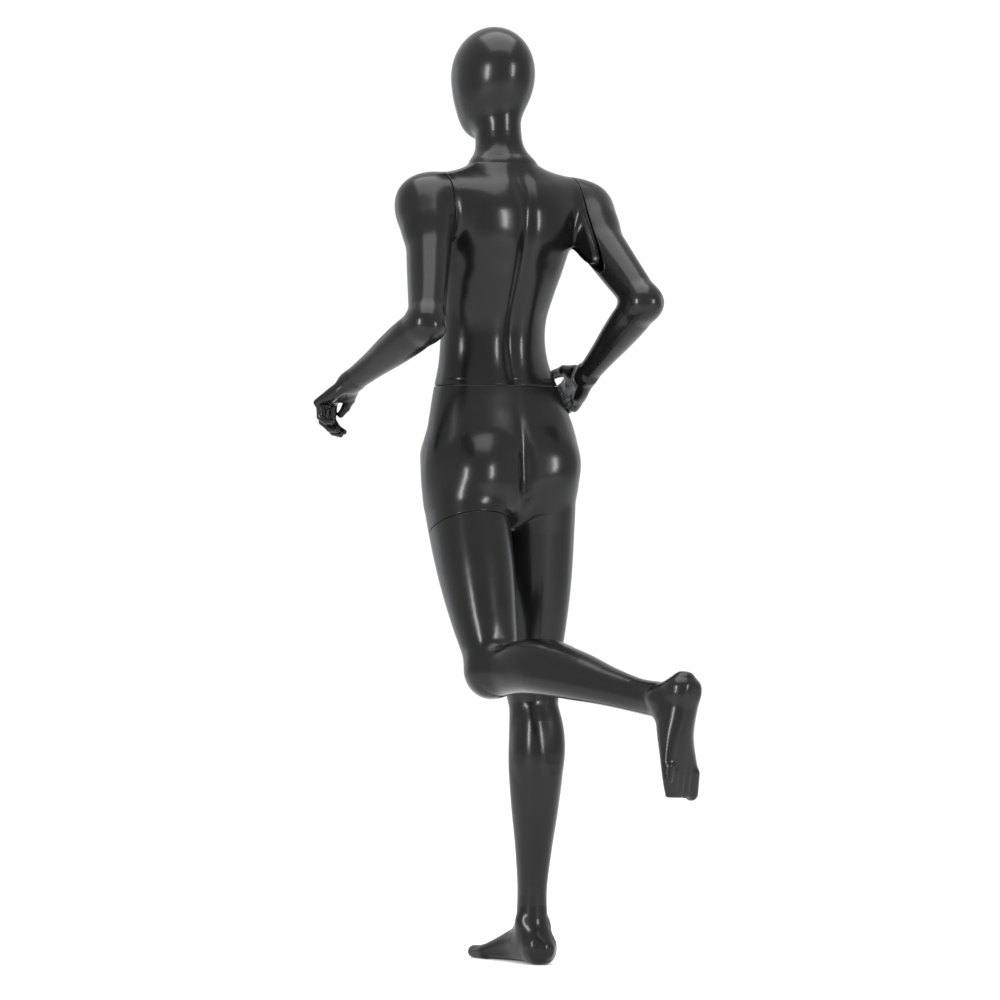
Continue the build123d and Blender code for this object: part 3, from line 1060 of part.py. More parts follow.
peg = peg.fuse(ring_plate(68.0, 4.0, zb - 4.0, 28.0)).solids()[0]
peg = peg.cut(boxc(22.0, 22.0, 100, -64.0)).solids()[0]
for a, c in SQ:
    peg = peg.cut(cyl(2.2, 12, zb - 6, a * 27, c * 27)).solids()[0]
put("thigh_peg", peg)
put("thigh_peg_screws", [screw_up(a * 27, c * 27, zb - 4.0, 12.0) for a, c in SQ])
put("thigh_magnets", [cyl(8.0, 6.0, -6.2, x, y) for x, y in MAG])
put("thigh_strikes", [cyl(8.0, 2.0, 0.2, x, y) for x, y in MAG])

# base rod tube
tube = cyl(ROD_TUBE_R, ROD_LEN + 3.0, 0.0, ROD_X, ROD_Y).cut(cyl(ROD_BORE_R, ROD_LEN, 0.0, ROD_X, ROD_Y)).solids()[0]
save("rod_tube", tube)
col = cyl(16.0, 5.0, 115.2, ROD_X, ROD_Y).cut(cyl(ROD_TUBE_R + 0.05, 20, 110, ROD_X, ROD_Y)).solids()[0]
col = col.chamfer(0.8, None, [e for e in col.edges() if e.geom_type == GeomType.CIRCLE and e.radius > 15])
save("rod_collar", col)
print("origin shift", -ROD_X, -ROD_Y)
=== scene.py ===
import bpy, bmesh, json, math, time
import numpy as np
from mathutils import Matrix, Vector


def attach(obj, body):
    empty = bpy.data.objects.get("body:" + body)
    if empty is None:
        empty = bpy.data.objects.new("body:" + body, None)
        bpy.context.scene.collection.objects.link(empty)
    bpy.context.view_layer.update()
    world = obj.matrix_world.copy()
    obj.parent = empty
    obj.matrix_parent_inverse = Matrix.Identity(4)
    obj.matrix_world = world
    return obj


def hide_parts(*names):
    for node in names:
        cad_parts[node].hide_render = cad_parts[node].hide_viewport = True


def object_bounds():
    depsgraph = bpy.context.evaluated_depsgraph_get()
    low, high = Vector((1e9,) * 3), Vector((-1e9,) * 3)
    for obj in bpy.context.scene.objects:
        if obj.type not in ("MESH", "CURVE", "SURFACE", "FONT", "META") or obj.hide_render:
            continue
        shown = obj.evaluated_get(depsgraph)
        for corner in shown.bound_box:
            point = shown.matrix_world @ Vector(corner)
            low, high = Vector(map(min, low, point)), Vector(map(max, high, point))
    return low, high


T0 = time.time()
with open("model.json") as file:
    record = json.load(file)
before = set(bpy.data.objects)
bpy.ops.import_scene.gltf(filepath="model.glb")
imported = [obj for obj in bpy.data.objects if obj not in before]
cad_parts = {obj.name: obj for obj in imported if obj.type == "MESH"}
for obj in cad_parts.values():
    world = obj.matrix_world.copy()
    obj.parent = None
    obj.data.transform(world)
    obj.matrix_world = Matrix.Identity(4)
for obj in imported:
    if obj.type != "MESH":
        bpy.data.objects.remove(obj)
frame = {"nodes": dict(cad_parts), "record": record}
lo0, hi0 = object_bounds()

# The figure's surface is one smooth function of position (negative inside). It is meshed here, piece by piece.

# ---------- small maths ----------
def smin(a, b, k):
    h = np.clip(0.5 + 0.5 * (b - a) / k, 0, 1)
    return b * (1 - h) + a * h - k * h * (1 - h)

def smax(a, b, k):
    return -smin(-a, -b, k)

def unit(v):
    v = np.asarray(v, float)
    return v / np.linalg.norm(v)

def spline_table(ts, rows, m=241):
    """smooth (monotone-ish cubic Hermite) samples of rows at ts"""
    ts = np.asarray(ts, float); rows = np.asarray(rows, float)
    if rows.ndim == 1: rows = rows[:, None]
    d = np.zeros_like(rows)
    h = np.diff(ts)[:, None]; s = np.diff(rows, axis=0) / h
    d[1:-1] = (s[:-1] * h[1:] + s[1:] * h[:-1]) / (h[:-1] + h[1:])
    d[0] = s[0]; d[-1] = s[-1]
    q = np.linspace(ts[0], ts[-1], m)
    i = np.clip(np.searchsorted(ts, q, side="right") - 1, 0, len(ts) - 2)
    hh = (ts[i + 1] - ts[i])[:, None]; t = ((q - ts[i])[:, None]) / hh
    a = (2*t**3 - 3*t**2 + 1) * rows[i] + (t**3 - 2*t**2 + t) * hh * d[i] + (-2*t**3 + 3*t**2) * rows[i+1] + (t**3 - t**2) * hh * d[i+1]
    return q, a

class Column:
    """stack of level sections: z, yc, half width, front depth, back depth, exponent"""
    def __init__(self, rows, xc=0.0, cap=0.0):
        rows = np.asarray(rows, float)
        o = np.argsort(rows[:, 0]); rows = rows[o]
        self.q, self.t = spline_table(rows[:, 0], rows[:, 1:], 401)
        self.lo, self.hi = rows[0, 0], rows[-1, 0]
    def __call__(self, P):
        z = P[:, 2]
        zc = np.clip(z, self.lo, self.hi)
        c = [np.interp(zc, self.q, self.t[:, k]) for k in range(5)]
        yc, a, bf, bb, n = c
        x = P[:, 0]; y = P[:, 1] - yc
        # smooth switch between front and back depth
        w = 0.5 + 0.5 * np.tanh(y / 0.03)
        b = bf * (1 - w) + bb * w
        e = np.sqrt(x * x + y * y) + 1e-9
        v = ((np.abs(x) / a) ** n + (np.abs(y) / b) ** n) ** (1 / n) + 1e-9
        f = e - e / v
        dz = np.maximum(np.maximum(z - self.hi, self.lo - z), 0)
        return np.where(dz > 0, np.where(f > 0, np.sqrt(f * f + dz * dz), np.maximum(f, dz)), f)

class Tube:
    """limb: axis points, section half sizes (side n+, n-, side b+, b-), smooth along the axis"""
    def __init__(self, pts, secs, ref, segs=28, n=2.2, caps=(1.0, 1.0), knots=None, twist=None):
        pts = np.asarray(pts, float); secs = np.asarray(secs, float)
        L = np.r_[0, np.cumsum(np.linalg.norm(np.diff(pts, axis=0), axis=1))]
        q, c = spline_table(L, pts, segs + 1)
        kn = L if knots is None else np.asarray(knots, float) * L[-1]
        q2, s = spline_table(kn, secs, segs + 1)
        self.c = c; self.s = s; self.n = n
        T = np.gradient(c, axis=0); T /= np.linalg.norm(T, axis=1)[:, None]
        refs = np.asarray(ref, float)
        if refs.ndim == 1: refs = np.repeat(refs[None], segs + 1, 0)
        else:
            u = np.linspace(0, 1, len(refs)); refs = np.stack([np.interp(np.linspace(0, 1, segs + 1), u, refs[:, k]) for k in range(3)], 1)
        N = refs - (refs * T).sum(1)[:, None] * T
        N /= np.linalg.norm(N, axis=1)[:, None]
        self.N = N; self.B = np.cross(T, N); self.T = T
        self.caps = caps; self.L = L[-1]
    def __call__(self, P):
        c = self.c; m = len(c) - 1
        best = np.full(len(P), 1e9); bi = np.zeros(len(P), int); bt = np.zeros(len(P))
        for i in range(m):
            d = c[i + 1] - c[i]; dd = d @ d
            r = P - c[i]
            t = np.clip((r @ d) / dd, 0, 1)
            e = r - t[:, None] * d
            q = (e * e).sum(1)
            k = q < best
            best[k] = q[k]; bi[k] = i; bt[k] = t[k]
        g = bt[:, None]
        def mix(A): return A[bi] * (1 - g) + A[bi + 1] * g
        q = mix(c); N = mix(self.N); B = mix(self.B); T = mix(self.T); S = mix(self.s)
        e = P - q
        x = (e * N).sum(1); y = (e * B).sum(1); t = (e * T).sum(1)
        wx = 0.5 + 0.5 * np.tanh(x / 0.012); wy = 0.5 + 0.5 * np.tanh(y / 0.012)
        a = S[:, 1] * (1 - wx) + S[:, 0] * wx
        b = S[:, 3] * (1 - wy) + S[:, 2] * wy
        n = self.n
        tt = np.abs(t) / (np.maximum(a, b) * np.where(bi == 0, self.caps[0], self.caps[1]))
        ee = np.sqrt(x * x + y * y + t * t) + 1e-9
        v = ((np.abs(x) / a) ** n + (np.abs(y) / b) ** n + tt ** n) ** (1 / n) + 1e-9
        return ee - ee / v

def ell(P, c, r, R=None, n=2.0):
    e = P - np.asarray(c, float)
    if R is not None: e = e @ np.asarray(R, float).T
    q = np.sqrt((e * e).sum(1)) + 1e-9
    v = ((np.abs(e) / np.asarray(r, float)) ** n).sum(1) ** (1 / n) + 1e-9
    return q - q / v

def cone(P, a, b, ra, rb):
    """round cone"""
    a = np.asarray(a, float); b = np.asarray(b, float)
    d = b - a; t = np.clip(((P - a) @ d) / (d @ d), 0, 1)
    e = P - a - t[:, None] * d
    return np.sqrt((e * e).sum(1)) - (ra + (rb - ra) * t)

def gauss(P, c, s, R=None):
    e = P - np.asarray(c, float)
    if R is not None: e = e @ np.asarray(R, float).T
    e = e / np.asarray(s, float)
    return np.exp(-0.5 * (e * e).sum(1))

def basis(z, x):
    """rows x,y,z axes"""
    z = unit(z); x = np.asarray(x, float); x = unit(x - (x @ z) * z)
    return np.array([x, np.cross(z, x), z])

# ---------- trunk ----------
#        z      yc      a      bf     bb     n
TRUNK = [
    (0.876,  0.004, 0.085, 0.040, 0.045, 2.1),
    (0.892,  0.004, 0.125, 0.064, 0.066, 2.1),
    (0.920,  0.004, 0.152, 0.086, 0.092, 2.2),
    (0.960,  0.003, 0.160, 0.098, 0.104, 2.25),
    (1.000,  0.002, 0.163, 0.101, 0.104, 2.3),
    (1.040,  0.000, 0.160, 0.100, 0.100, 2.3),
    (1.080, -0.004, 0.152, 0.096, 0.093, 2.3),
    (1.120, -0.010, 0.140, 0.092, 0.088, 2.3),
    (1.158, -0.017, 0.1285, 0.088, 0.084, 2.3),
    (1.200, -0.026, 0.1150, 0.083, 0.079, 2.3),
    (1.240, -0.030, 0.1090, 0.081, 0.077, 2.3),
    (1.290, -0.026, 0.1080, 0.085, 0.081, 2.3),
    (1.340, -0.014, 0.1160, 0.093, 0.090, 2.35),
    (1.390,  0.000, 0.1270, 0.103, 0.098, 2.4),
    (1.440,  0.012, 0.1370, 0.110, 0.101, 2.4),
    (1.480,  0.018, 0.1420, 0.108, 0.100, 2.4),
    (1.520,  0.022, 0.1430, 0.098, 0.092, 2.4),
    (1.555,  0.020, 0.1250, 0.080, 0.078, 2.3),
    (1.580,  0.014, 0.0850, 0.058, 0.062, 2.2),
    (1.600,  0.008, 0.0550, 0.048, 0.052, 2.1),
]
trunk = Column(TRUNK)

SEAM_X = 0.145
SHO_L = np.array([0.1660, 0.0200, 1.5180]); SHO_R = np.array([-0.1650, 0.0220, 1.5150])
ELB_L = np.array([0.2541, 0.1764, 1.2712]); WRI_L = np.array([0.3093, -0.0456, 1.1632])
ELB_R = np.array([-0.1971, 0.2350, 1.3190]); WRI_R = np.array([-0.1738, 0.0414, 1.1792])
HIP_L = np.array([0.0840, 0.0000, 0.9500]); HIP_R = np.array([-0.0780, 0.0000, 0.9550])
KNE_L = np.array([0.1130, 0.1834, 0.6020]); ANK_L = np.array([-0.0137, 0.6302, 0.5582])
KNE_R = np.array([-0.0797, -0.0086, 0.5642]); ANK_R = np.array([-0.0749, 0.0002, 0.0767])

neck = Tube([(0, 0.012, 1.545), (0, 0.004, 1.60), (0, -0.006, 1.65), (0, -0.012, 1.70), (0, -0.016, 1.75)],
            [(0.066, 0.066, 0.066, 0.066), (0.053, 0.053, 0.055, 0.055), (0.0455, 0.0455, 0.051, 0.051), (0.0455, 0.0455, 0.053, 0.053), (0.048, 0.048, 0.055, 0.055)],
            (1, 0, 0), segs=16, n=2.0)

def head(P):
    c = np.array([0, -0.027, 1.790])
    f = ell(P, c, (0.0765, 0.098, 0.0885))
    f = smin(f, ell(P, (0, -0.036, 1.757), (0.0700, 0.084, 0.090)), 0.03)
    # jaw and chin
    f = smin(f, ell(P, (0, -0.060, 1.724), (0.050, 0.059, 0.060)), 0.03)
    f = smin(f, ell(P, (0, -0.084, 1.692), (0.024, 0.028, 0.025)), 0.04)
    return f

def shoulder_link(P, side):
    s = 1 if side == "l" else -1
    S = SHO_L if side == "l" else SHO_R
    x = (P[:, 0] * s - 0.05) / 0.12
    a = Tube([(s * 0.085, 0.022, 1.522), (s * 0.145, 0.021, 1.520), (S[0] + s * 0.012, S[1], S[2] - 0.004)],
             [(0.053, 0.062, 0.052, 0.055), (0.054, 0.058, 0.054, 0.056), (0.054, 0.056, 0.054, 0.054)], (0, 0, 1), segs=8, n=2.15)
    return a(P)

_LK = {}
def link(P, side):
    if side not in _LK:
        s = 1 if side == "l" else -1
        S = SHO_L if side == "l" else SHO_R
        _LK[side] = Tube([(s * 0.085, 0.022, 1.520), (s * 0.145, 0.021, 1.519), (S[0] + s * 0.014, S[1], S[2] - 0.004)],
             [(0.053, 0.066, 0.055, 0.055), (0.055, 0.060, 0.055, 0.055), (0.056, 0.056, 0.054, 0.054)], (0, 0, 1), segs=8, n=2.15)
    return _LK[side](P)

def trap(P):
    f = None
    for s in (1, -1):
        g = cone(P, (s * 0.022, 0.016, 1.566), (s * 0.135, 0.022, 1.534), 0.040, 0.031)
        f = g if f is None else np.minimum(f, g)
    return f

def trunk_details(P):
    """raised and hollow areas, in metres, positive is out"""
    x = np.abs(P[:, 0]); Q = P.copy(); Q[:, 0] = x
    d = 0
    # front: chest, rib edge, abdomen
    d = d + 0.0130 * gauss(Q, (0.066, -0.090, 1.458), (0.042, 0.05, 0.030))
    d = d - 0.0050 * gauss(Q, (0.0, -0.10, 1.460), (0.010, 0.05, 0.045))
    d = d - 0.0045 * gauss(Q, (0.060, -0.100, 1.402), (0.05, 0.05, 0.012))
    d = d - 0.0035 * gauss(Q, (0.0, -0.11, 1.27), (0.009, 0.05, 0.085))
    d = d + 0.0035 * gauss(Q, (0.034, -0.11, 1.355), (0.022, 0.05, 0.020))
    d = d + 0.0030 * gauss(Q, (0.033, -0.11, 1.300), (0.021, 0.05, 0.018))
    d = d + 0.0028 * gauss(Q, (0.032, -0.11, 1.245), (0.020, 0.05, 0.020))
    d = d + 0.0030 * gauss(Q, (0.030, -0.10, 1.140), (0.026, 0.05, 0.045))
    d = d - 0.0045 * gauss(Q, (0.0, -0.105, 1.195), (0.006, 0.03, 0.007))
    d = d + 0.0035 * gauss(Q, (0.045, -0.03, 1.578), (0.045, 0.012, 0.008))   # collar bone
    d = d - 0.0060 * gauss(Q, (0.0, -0.075, 1.578), (0.012, 0.03, 0.012))
    # back: spine channel, shoulder blades, long back muscles
    d = d - 0.0085 * gauss(Q, (0.0, 0.10, 1.40), (0.0105, 0.06, 0.125))
    d = d - 0.0050 * gauss(Q, (0.0, 0.07, 1.245), (0.009, 0.06, 0.06))
    d = d + 0.0050 * gauss(Q, (0.070, 0.11, 1.475), (0.036, 0.06, 0.042))
    d = d - 0.0040 * gauss(Q, (0.055, 0.11, 1.405), (0.030, 0.06, 0.018))
    d = d + 0.0040 * gauss(Q, (0.036, 0.06, 1.245), (0.018, 0.05, 0.09))
    d = d - 0.0030 * gauss(Q, (0.080, 0.08, 1.240), (0.016, 0.06, 0.07))
    d = d - 0.0040 * gauss(Q, (0.012, 0.10, 1.555), (0.010, 0.05, 0.03))
    return d

def upper_full(P):
    f = trunk(P)
    f = smin(f, trap(P), 0.045)
    f = smin(f, link(P, "l"), 0.035)
    f = smin(f, link(P, "r"), 0.035)
    f = smin(f, neck(P), 0.035)
    f = f - trunk_details(P)
    h = head(P)
    return smin(f, h, 0.016)

# ---------- arms ----------
class Arm:
    def __init__(self, side, sho, elb, wri):
        s = 1 if side == "l" else -1
        self.side, self.s, self.sho, self.elb, self.wri = side, s, sho, elb, wri
        back = unit(-(unit(sho - elb) + unit(wri - elb)))
        self.back = back
        a = sho; b = elb; c = wri
        def L(p, q, t): return p + (q - p) * t
        #          back, front, side, side
        self.up = Tube([a, L(a, b, 0.28), L(a, b, 0.55), L(a, b, 0.85), b],
                       [(0.047, 0.047, 0.048, 0.048), (0.0455, 0.0455, 0.046, 0.0435), (0.042, 0.0445, 0.041, 0.039), (0.038, 0.038, 0.0365, 0.0345), (0.035, 0.033, 0.0365, 0.0345)], back, segs=20, n=2.1)
        self.fo = Tube([b, L(b, c, 0.16), L(b, c, 0.42), L(b, c, 0.72), L(b, c, 0.95), c],
                       [(0.033, 0.033, 0.0365, 0.0345), (0.035, 0.036, 0.040, 0.0365), (0.032, 0.0335, 0.036, 0.0335), (0.0255, 0.0260, 0.027, 0.0260), (0.0205, 0.0205, 0.0245, 0.0245), (0.0195, 0.0195, 0.025, 0.025)], back, segs=22, n=2.1)
        self.ud, self.fd = unit(elb - sho), unit(wri - elb)
        out = np.array([s, 0, 0.0]); self.out = unit(out - (out @ self.ud) * self.ud)
        self.R = basis(self.ud, self.out)
    def upper(self, P):
        return smin(self.up(P), ell(P, self.sho + self.ud * 0.030 + self.out * 0.010, (0.050, 0.054, 0.080), self.R), 0.03)
    def __call__(self, P):
        f = smin(self.upper(P), self.fo(P), 0.018)
        # point of the elbow
        return smin(f, ell(P, self.elb + self.back * 0.026 + self.fd * 0.004, (0.013, 0.013, 0.018), basis(self.fd, self.back)), 0.014)

class Hand:
    """o wrist, f direction of the palm, p palm normal (side the fingers curl to), left/right"""
    def __init__(self, o, f, p, side, curl, thumb=None, k=1.0):
        f = unit(f); p = np.asarray(p, float); p = unit(p - (p @ f) * f)
        t = np.cross(p, f) if side == "l" else np.cross(f, p)
        self.o, self.f, self.p, self.t, self.k = o, f, p, t, k
        self.fingers = []
        #        across   along   lengths                 radii
        base = [(0.0290, 0.088, (0.043, 0.025, 0.021), (0.0098, 0.0088, 0.0080, 0.0066)),
                (0.0100, 0.093, (0.047, 0.029, 0.022), (0.0100, 0.0090, 0.0082, 0.0068)),
                (-0.0090, 0.090, (0.043, 0.027, 0.021), (0.0096, 0.0086, 0.0078, 0.0065)),
                (-0.0265, 0.083, (0.034, 0.020, 0.019), (0.0086, 0.0077, 0.0070, 0.0060))]
        for j, (ax, al, ln, rr) in enumerate(base):
            c = curl[j]
            q = np.array([ax, al, 0.0]); a = 0.0; spread = ax * 1.6
            pts = [self.w(q)]
            for m in range(3):
                a += c[m]
                d = np.array([np.sin(spread) * np.cos(a), np.cos(spread) * np.cos(a), np.sin(a)])
                q = q + d * ln[m]; pts.append(self.w(q))
            self.fingers.append((pts, [r * k for r in rr]))
        q = [np.array([0.024, 0.022, 0.008]), np.array([0.043, 0.050, 0.017]), np.array([0.052, 0.080, 0.024]), np.array([0.053, 0.103, 0.030])]
        if thumb is not None:
            q = [np.array(v, float) for v in thumb]
        self.thumb = ([self.w(v) for v in q], [0.0165 * k, 0.0125 * k, 0.0098 * k, 0.0078 * k])
    def w(self, q):
        return self.o + (q[0] * self.t + q[1] * self.f + q[2] * self.p) * self.k
    def local(self, P):
        e = (P - self.o) / self.k
        return np.stack([e @ self.t, e @ self.f, e @ self.p], 1)
    def __call__(self, P):
        Q = self.local(P)
        # palm: narrow at the wrist, wide at the knuckles
        g = np.clip(Q[:, 1] / 0.085, 0, 1)
        a = 0.0265 + 0.0150 * np.sin(g * np.pi / 2)
        b = 0.0190 - 0.0065 * g
        x = Q[:, 0]; z = Q[:, 2] - 0.002 * (1 - g)
        y = np.maximum(np.maximum(Q[:, 1] - 0.084, -0.012 - Q[:, 1]), 0)
        e = np.sqrt(x * x + z * z + y * y) + 1e-9
        v = ((np.abs(x) / a) ** 2.7 + (np.abs(z) / b) ** 2.7 + (y / 0.014) ** 2.7) ** (1 / 2.7) + 1e-9
        f = e - e / v
        # heel of the thumb and of the little finger
        f = smin(f, ell(Q, (0.021, 0.038, 0.009), (0.017, 0.031, 0.014)), 0.010)
        f = smin(f, ell(Q, (-0.024, 0.036, 0.006), (0.013, 0.032, 0.013)), 0.010)
        f = f + 0.003 * gauss(Q, (0, 0.052, 0.018), (0.012, 0.02, 0.01)) * 1.0
        f = f * self.k
        for pts, rr in self.fingers:
            g = None
            for m in range(3):
                h = cone(P, pts[m], pts[m + 1], rr[m], rr[m + 1])
                g = h if g is None else smin(g, h, 0.002)
            f = smin(f, g, 0.005)
        pts, rr = self.thumb
        g = None
        for m in range(3):
            h = cone(P, pts[m], pts[m + 1], rr[m], rr[m + 1])
            g = h if g is None else smin(g, h, 0.003)
        return smin(f, g, 0.008)

# ---------- legs ----------
class Leg:
    def __init__(self, side, hip, kne, ank, fwd_thigh, fwd_shin):
        self.side = side; s = 1 if side == "l" else -1
        self.s = s
        def L(p, q, t): return p + (q - p) * t
        pts = [L(hip, kne, -0.18), hip, L(hip, kne, 0.25), L(hip, kne, 0.5), L(hip, kne, 0.75), L(hip, kne, 0.93), kne]
        #        front, back, lateral.. (side +x*s), medial
        secs = [(0.070, 0.080, 0.074, 0.070), (0.088, 0.096, 0.076, 0.078), (0.089, 0.088, 0.076, 0.078), (0.080, 0.079, 0.072, 0.071), (0.066, 0.064, 0.062, 0.060), (0.056, 0.053, 0.0515, 0.052), (0.056, 0.047, 0.050, 0.051)]
        # B = T x N : with T down and N forward(-y): (0,0,-1)x(0,-1,0) = (-1,0,0)
        def order(r):
            f, b, la, me = r
            return (f, b, me, la) if s > 0 else (f, b, la, me)
        self.th = Tube(pts, [order(r) for r in secs], fwd_thigh, segs=20, n=2.15)
        off = unit(kne - hip)
        pts = [kne, L(kne, ank, 0.07), L(kne, ank, 0.2), L(kne, ank, 0.32), L(kne, ank, 0.5), L(kne, ank, 0.7), L(kne, ank, 0.88), ank]
        sh = np.asarray(fwd_shin, float)
        bow = [0, -0.002, -0.006, -0.007, -0.005, 0.0, 0.004, 0.004]
        sd = unit(ank - kne); nf = unit(sh - (sh @ sd) * sd)
        pts = [p + nf * b for p, b in zip(pts, bow)]
        secs = [(0.055, 0.047, 0.050, 0.051), (0.050, 0.046, 0.0485, 0.0485), (0.044, 0.0585, 0.0525, 0.052), (0.042, 0.064, 0.0545, 0.0545), (0.039, 0.056, 0.047, 0.048), (0.034, 0.040, 0.036, 0.0355), (0.033, 0.032, 0.0285, 0.0285), (0.036, 0.034, 0.0315, 0.0315)]
        self.sh = Tube(pts, [order(r) for r in secs], fwd_shin, segs=24, n=2.1)
        self.hip, self.kne, self.ank = hip, kne, ank
        self.fs = nf; self.sd = sd
        lat = np.cross(nf, sd)
        if lat[0] * s < 0 and side == "r": lat = -lat
        lat = unit(np.cross(sd, nf)) * (-1 if side == "l" else 1)
        # sd x nf for T down N forward = -x -> that is lateral for the right leg
        self.lat = lat
        self.R = np.array([nf, lat, sd])
        tf = np.asarray(fwd_thigh, float); td = unit(kne - hip); tf = unit(tf - (tf @ td) * td)
        self.tf, self.td = tf, td
    def shin(self, P):
        k, fs, sd, lat = self.kne, self.fs, self.sd, self.lat
        f = self.sh(P)
        # calf heads
        R = np.array([fs, lat, sd])
        f = smin(f, ell(P, k + sd * 0.135 - fs * 0.030 - lat * 0.017, (0.036, 0.030, 0.085), R), 0.02)
        f = smin(f, ell(P, k + sd * 0.120 - fs * 0.030 + lat * 0.018, (0.034, 0.028, 0.080), R), 0.02)
        # ankle bones
        f = smin(f, ell(P, self.ank - sd * 0.000 + lat * 0.0245 + fs * -0.002, (0.014, 0.0105, 0.016), R), 0.012)
        f = smin(f, ell(P, self.ank - sd * 0.008 - lat * 0.0245 + fs * 0.002, (0.014, 0.0105, 0.016), R), 0.012)
        return f
    def __call__(self, P):
        k, fs, sd, lat = self.kne, self.fs, self.sd, self.lat
        R = np.array([fs, lat, sd])
        f = smin(self.th(P), self.shin(P), 0.020)
        # knee cap
        kc = k + unit(self.tf + fs) * 0.030
        f = smin(f, ell(P, kc, (0.022, 0.024, 0.030), basis(sd, fs)), 0.020)
        # hollow behind the knee
        f = f + 0.004 * gauss(P, k - unit(self.tf + fs) * 0.052 - self.td * 0.0, (0.02, 0.014, 0.035), R)
        return f

class Foot:
    """a under the ankle on the sole plane, fwd toe direction, up, lateral"""
    def __init__(self, sole, fwd, up, lat):
        self.o = sole; self.fwd = unit(fwd); up = np.asarray(up, float); self.up = unit(up - (up @ self.fwd) * self.fwd)
        self.lat = lat if abs(np.dot(lat, self.fwd)) < 1e-6 else unit(lat - (lat @ self.fwd) * self.fwd)
        self.lat = unit(self.lat - (self.lat @ self.up) * self.up)
        #        y      xc      zc     side lat, med, up, down   (foot coordinates: x lateral, y toe, z up)
        ys = [-0.047, -0.038, -0.020, 0.0, 0.030, 0.065, 0.100, 0.130, 0.155, 0.172]
        self.tab = np.array([
            # xc, zc, lat, med, up, down
            (0.000, 0.030, 0.012, 0.012, 0.012, 0.014),
            (0.000, 0.032, 0.026, 0.026, 0.026, 0.026),
            (0.000, 0.034, 0.032, 0.032, 0.040, 0.034),
            (0.000, 0.036, 0.033, 0.034, 0.048, 0.036),
            (0.001, 0.033, 0.035, 0.034, 0.048, 0.033),
            (0.002, 0.027, 0.040, 0.034, 0.040, 0.027),
            (0.001, 0.021, 0.044, 0.038, 0.029, 0.021),
            (0.000, 0.016, 0.046, 0.043, 0.020, 0.016),
            (0.000, 0.012, 0.044, 0.043, 0.014, 0.012),
            (0.000, 0.010, 0.040, 0.042, 0.010, 0.010)])
        self.ys, self.tt = spline_table(ys, self.tab, 121)
        self.y0, self.y1 = ys[0], ys[-1]
        # toes: lateral x, start y, end y, radius, height
        self.toes = [(-0.0300, 0.150, 0.184, 0.0145, 0.0125), (-0.0070, 0.152, 0.1820, 0.0098, 0.0105), (0.0095, 0.150, 0.1755, 0.0092, 0.0100), (0.0245, 0.145, 0.1670, 0.0088, 0.0095), (0.0380, 0.136, 0.1550, 0.0086, 0.0090)]
    def local(self, P):
        e = P - self.o
        return np.stack([e @ self.lat, e @ self.fwd, e @ self.up], 1)
    def __call__(self, P):
        Q = self.local(P)
        y = np.clip(Q[:, 1], self.y0, self.y1)
        c = [np.interp(y, self.ys, self.tt[:, k]) for k in range(6)]
        x = Q[:, 0] - c[0]; z = Q[:, 2] - c[1]; dy = np.abs(Q[:, 1] - y)
        wx = 0.5 + 0.5 * np.tanh(x / 0.01); wz = 0.5 + 0.5 * np.tanh(z / 0.006)
        a = c[3] * (1 - wx) + c[2] * wx; b = c[5] * (1 - wz) + c[4] * wz
        e = np.sqrt(x * x + z * z) + 1e-9
        n = 2.3
        v = ((np.abs(x) / a) ** n + (np.abs(z) / b) ** n) ** (1 / n) + 1e-9
        f = e - e / v
        f = np.where(dy > 0, np.sqrt(np.maximum(f + 0.006, 0) ** 2 + dy * dy) - 0.006, f)
        # heel ball
        f = smin(f, ell(Q, (0, -0.020, 0.032), (0.0325, 0.0345, 0.034)), 0.012)
        # arch on the inner side
        f = f + 0.010 * gauss(Q, (-0.030, 0.055, -0.002), (0.016, 0.032, 0.013))
        for tx, y0, y1, r, h in self.toes:
            g = cone(Q, (tx * 0.96, y0 - 0.012, h + 0.001), (tx, y1 - 0.008, h - 0.001), r * 1.02, r * 0.93)
            f = smin(f, g, 0.0050)
        for i in range(4):
            tx = (self.toes[i][0] + self.toes[i + 1][0]) / 2 + (0.0025 if i == 0 else 0)
            yy = (self.toes[i][1] + self.toes[i + 1][1]) / 2 + 0.006
            f = f + (0.005 if i == 0 else 0.003) * gauss(Q, (tx, yy, 0.018), (0.0022, 0.014, 0.010))
        # flat sole
        return smax(f, -Q[:, 2], 0.005)

armL = Arm("l", SHO_L, ELB_L, WRI_L); armR = Arm("r", SHO_R, ELB_R, WRI_R)
curl_l = [(0.85, 0.85, 0.5), (0.92, 0.92, 0.5), (0.98, 0.98, 0.5), (1.05, 1.0, 0.5)]
handL = Hand(WRI_L + unit(WRI_L - ELB_L) * 0.004, np.array([0.0277, -0.0714, -0.0440]), np.array([-0.1945, 0.2733, -0.8500]), "l", curl_l, thumb=[(0.022, 0.022, 0.008), (0.035, 0.048, 0.018), (0.038, 0.071, 0.027), (0.034, 0.090, 0.034)], k=0.86)
curl_r = [(0.22, 0.5, 0.35), (0.22, 0.5, 0.35), (0.24, 0.52, 0.35), (0.28, 0.55, 0.35)]
handR = Hand(WRI_R + unit(WRI_R - ELB_R) * 0.004, (-0.06, -0.86, -0.42), (0.95, -0.05, -0.1), "r", curl_r, k=0.92)
legL = Leg("l", HIP_L, KNE_L, ANK_L, np.array([-0.0252, -1.0059, 0.0000]), unit(-np.array([0, 0, 1.0])))
legR = Leg("r", HIP_R, KNE_R, ANK_R, (0, -1, 0), (0, -1, 0))
footR = Foot(np.array([ANK_R[0], ANK_R[1] + 0.004, 0.0]), (0.10, -1, 0), (0, 0, 1), (-1, 0, 0))
shl = unit(ANK_L - KNE_L)
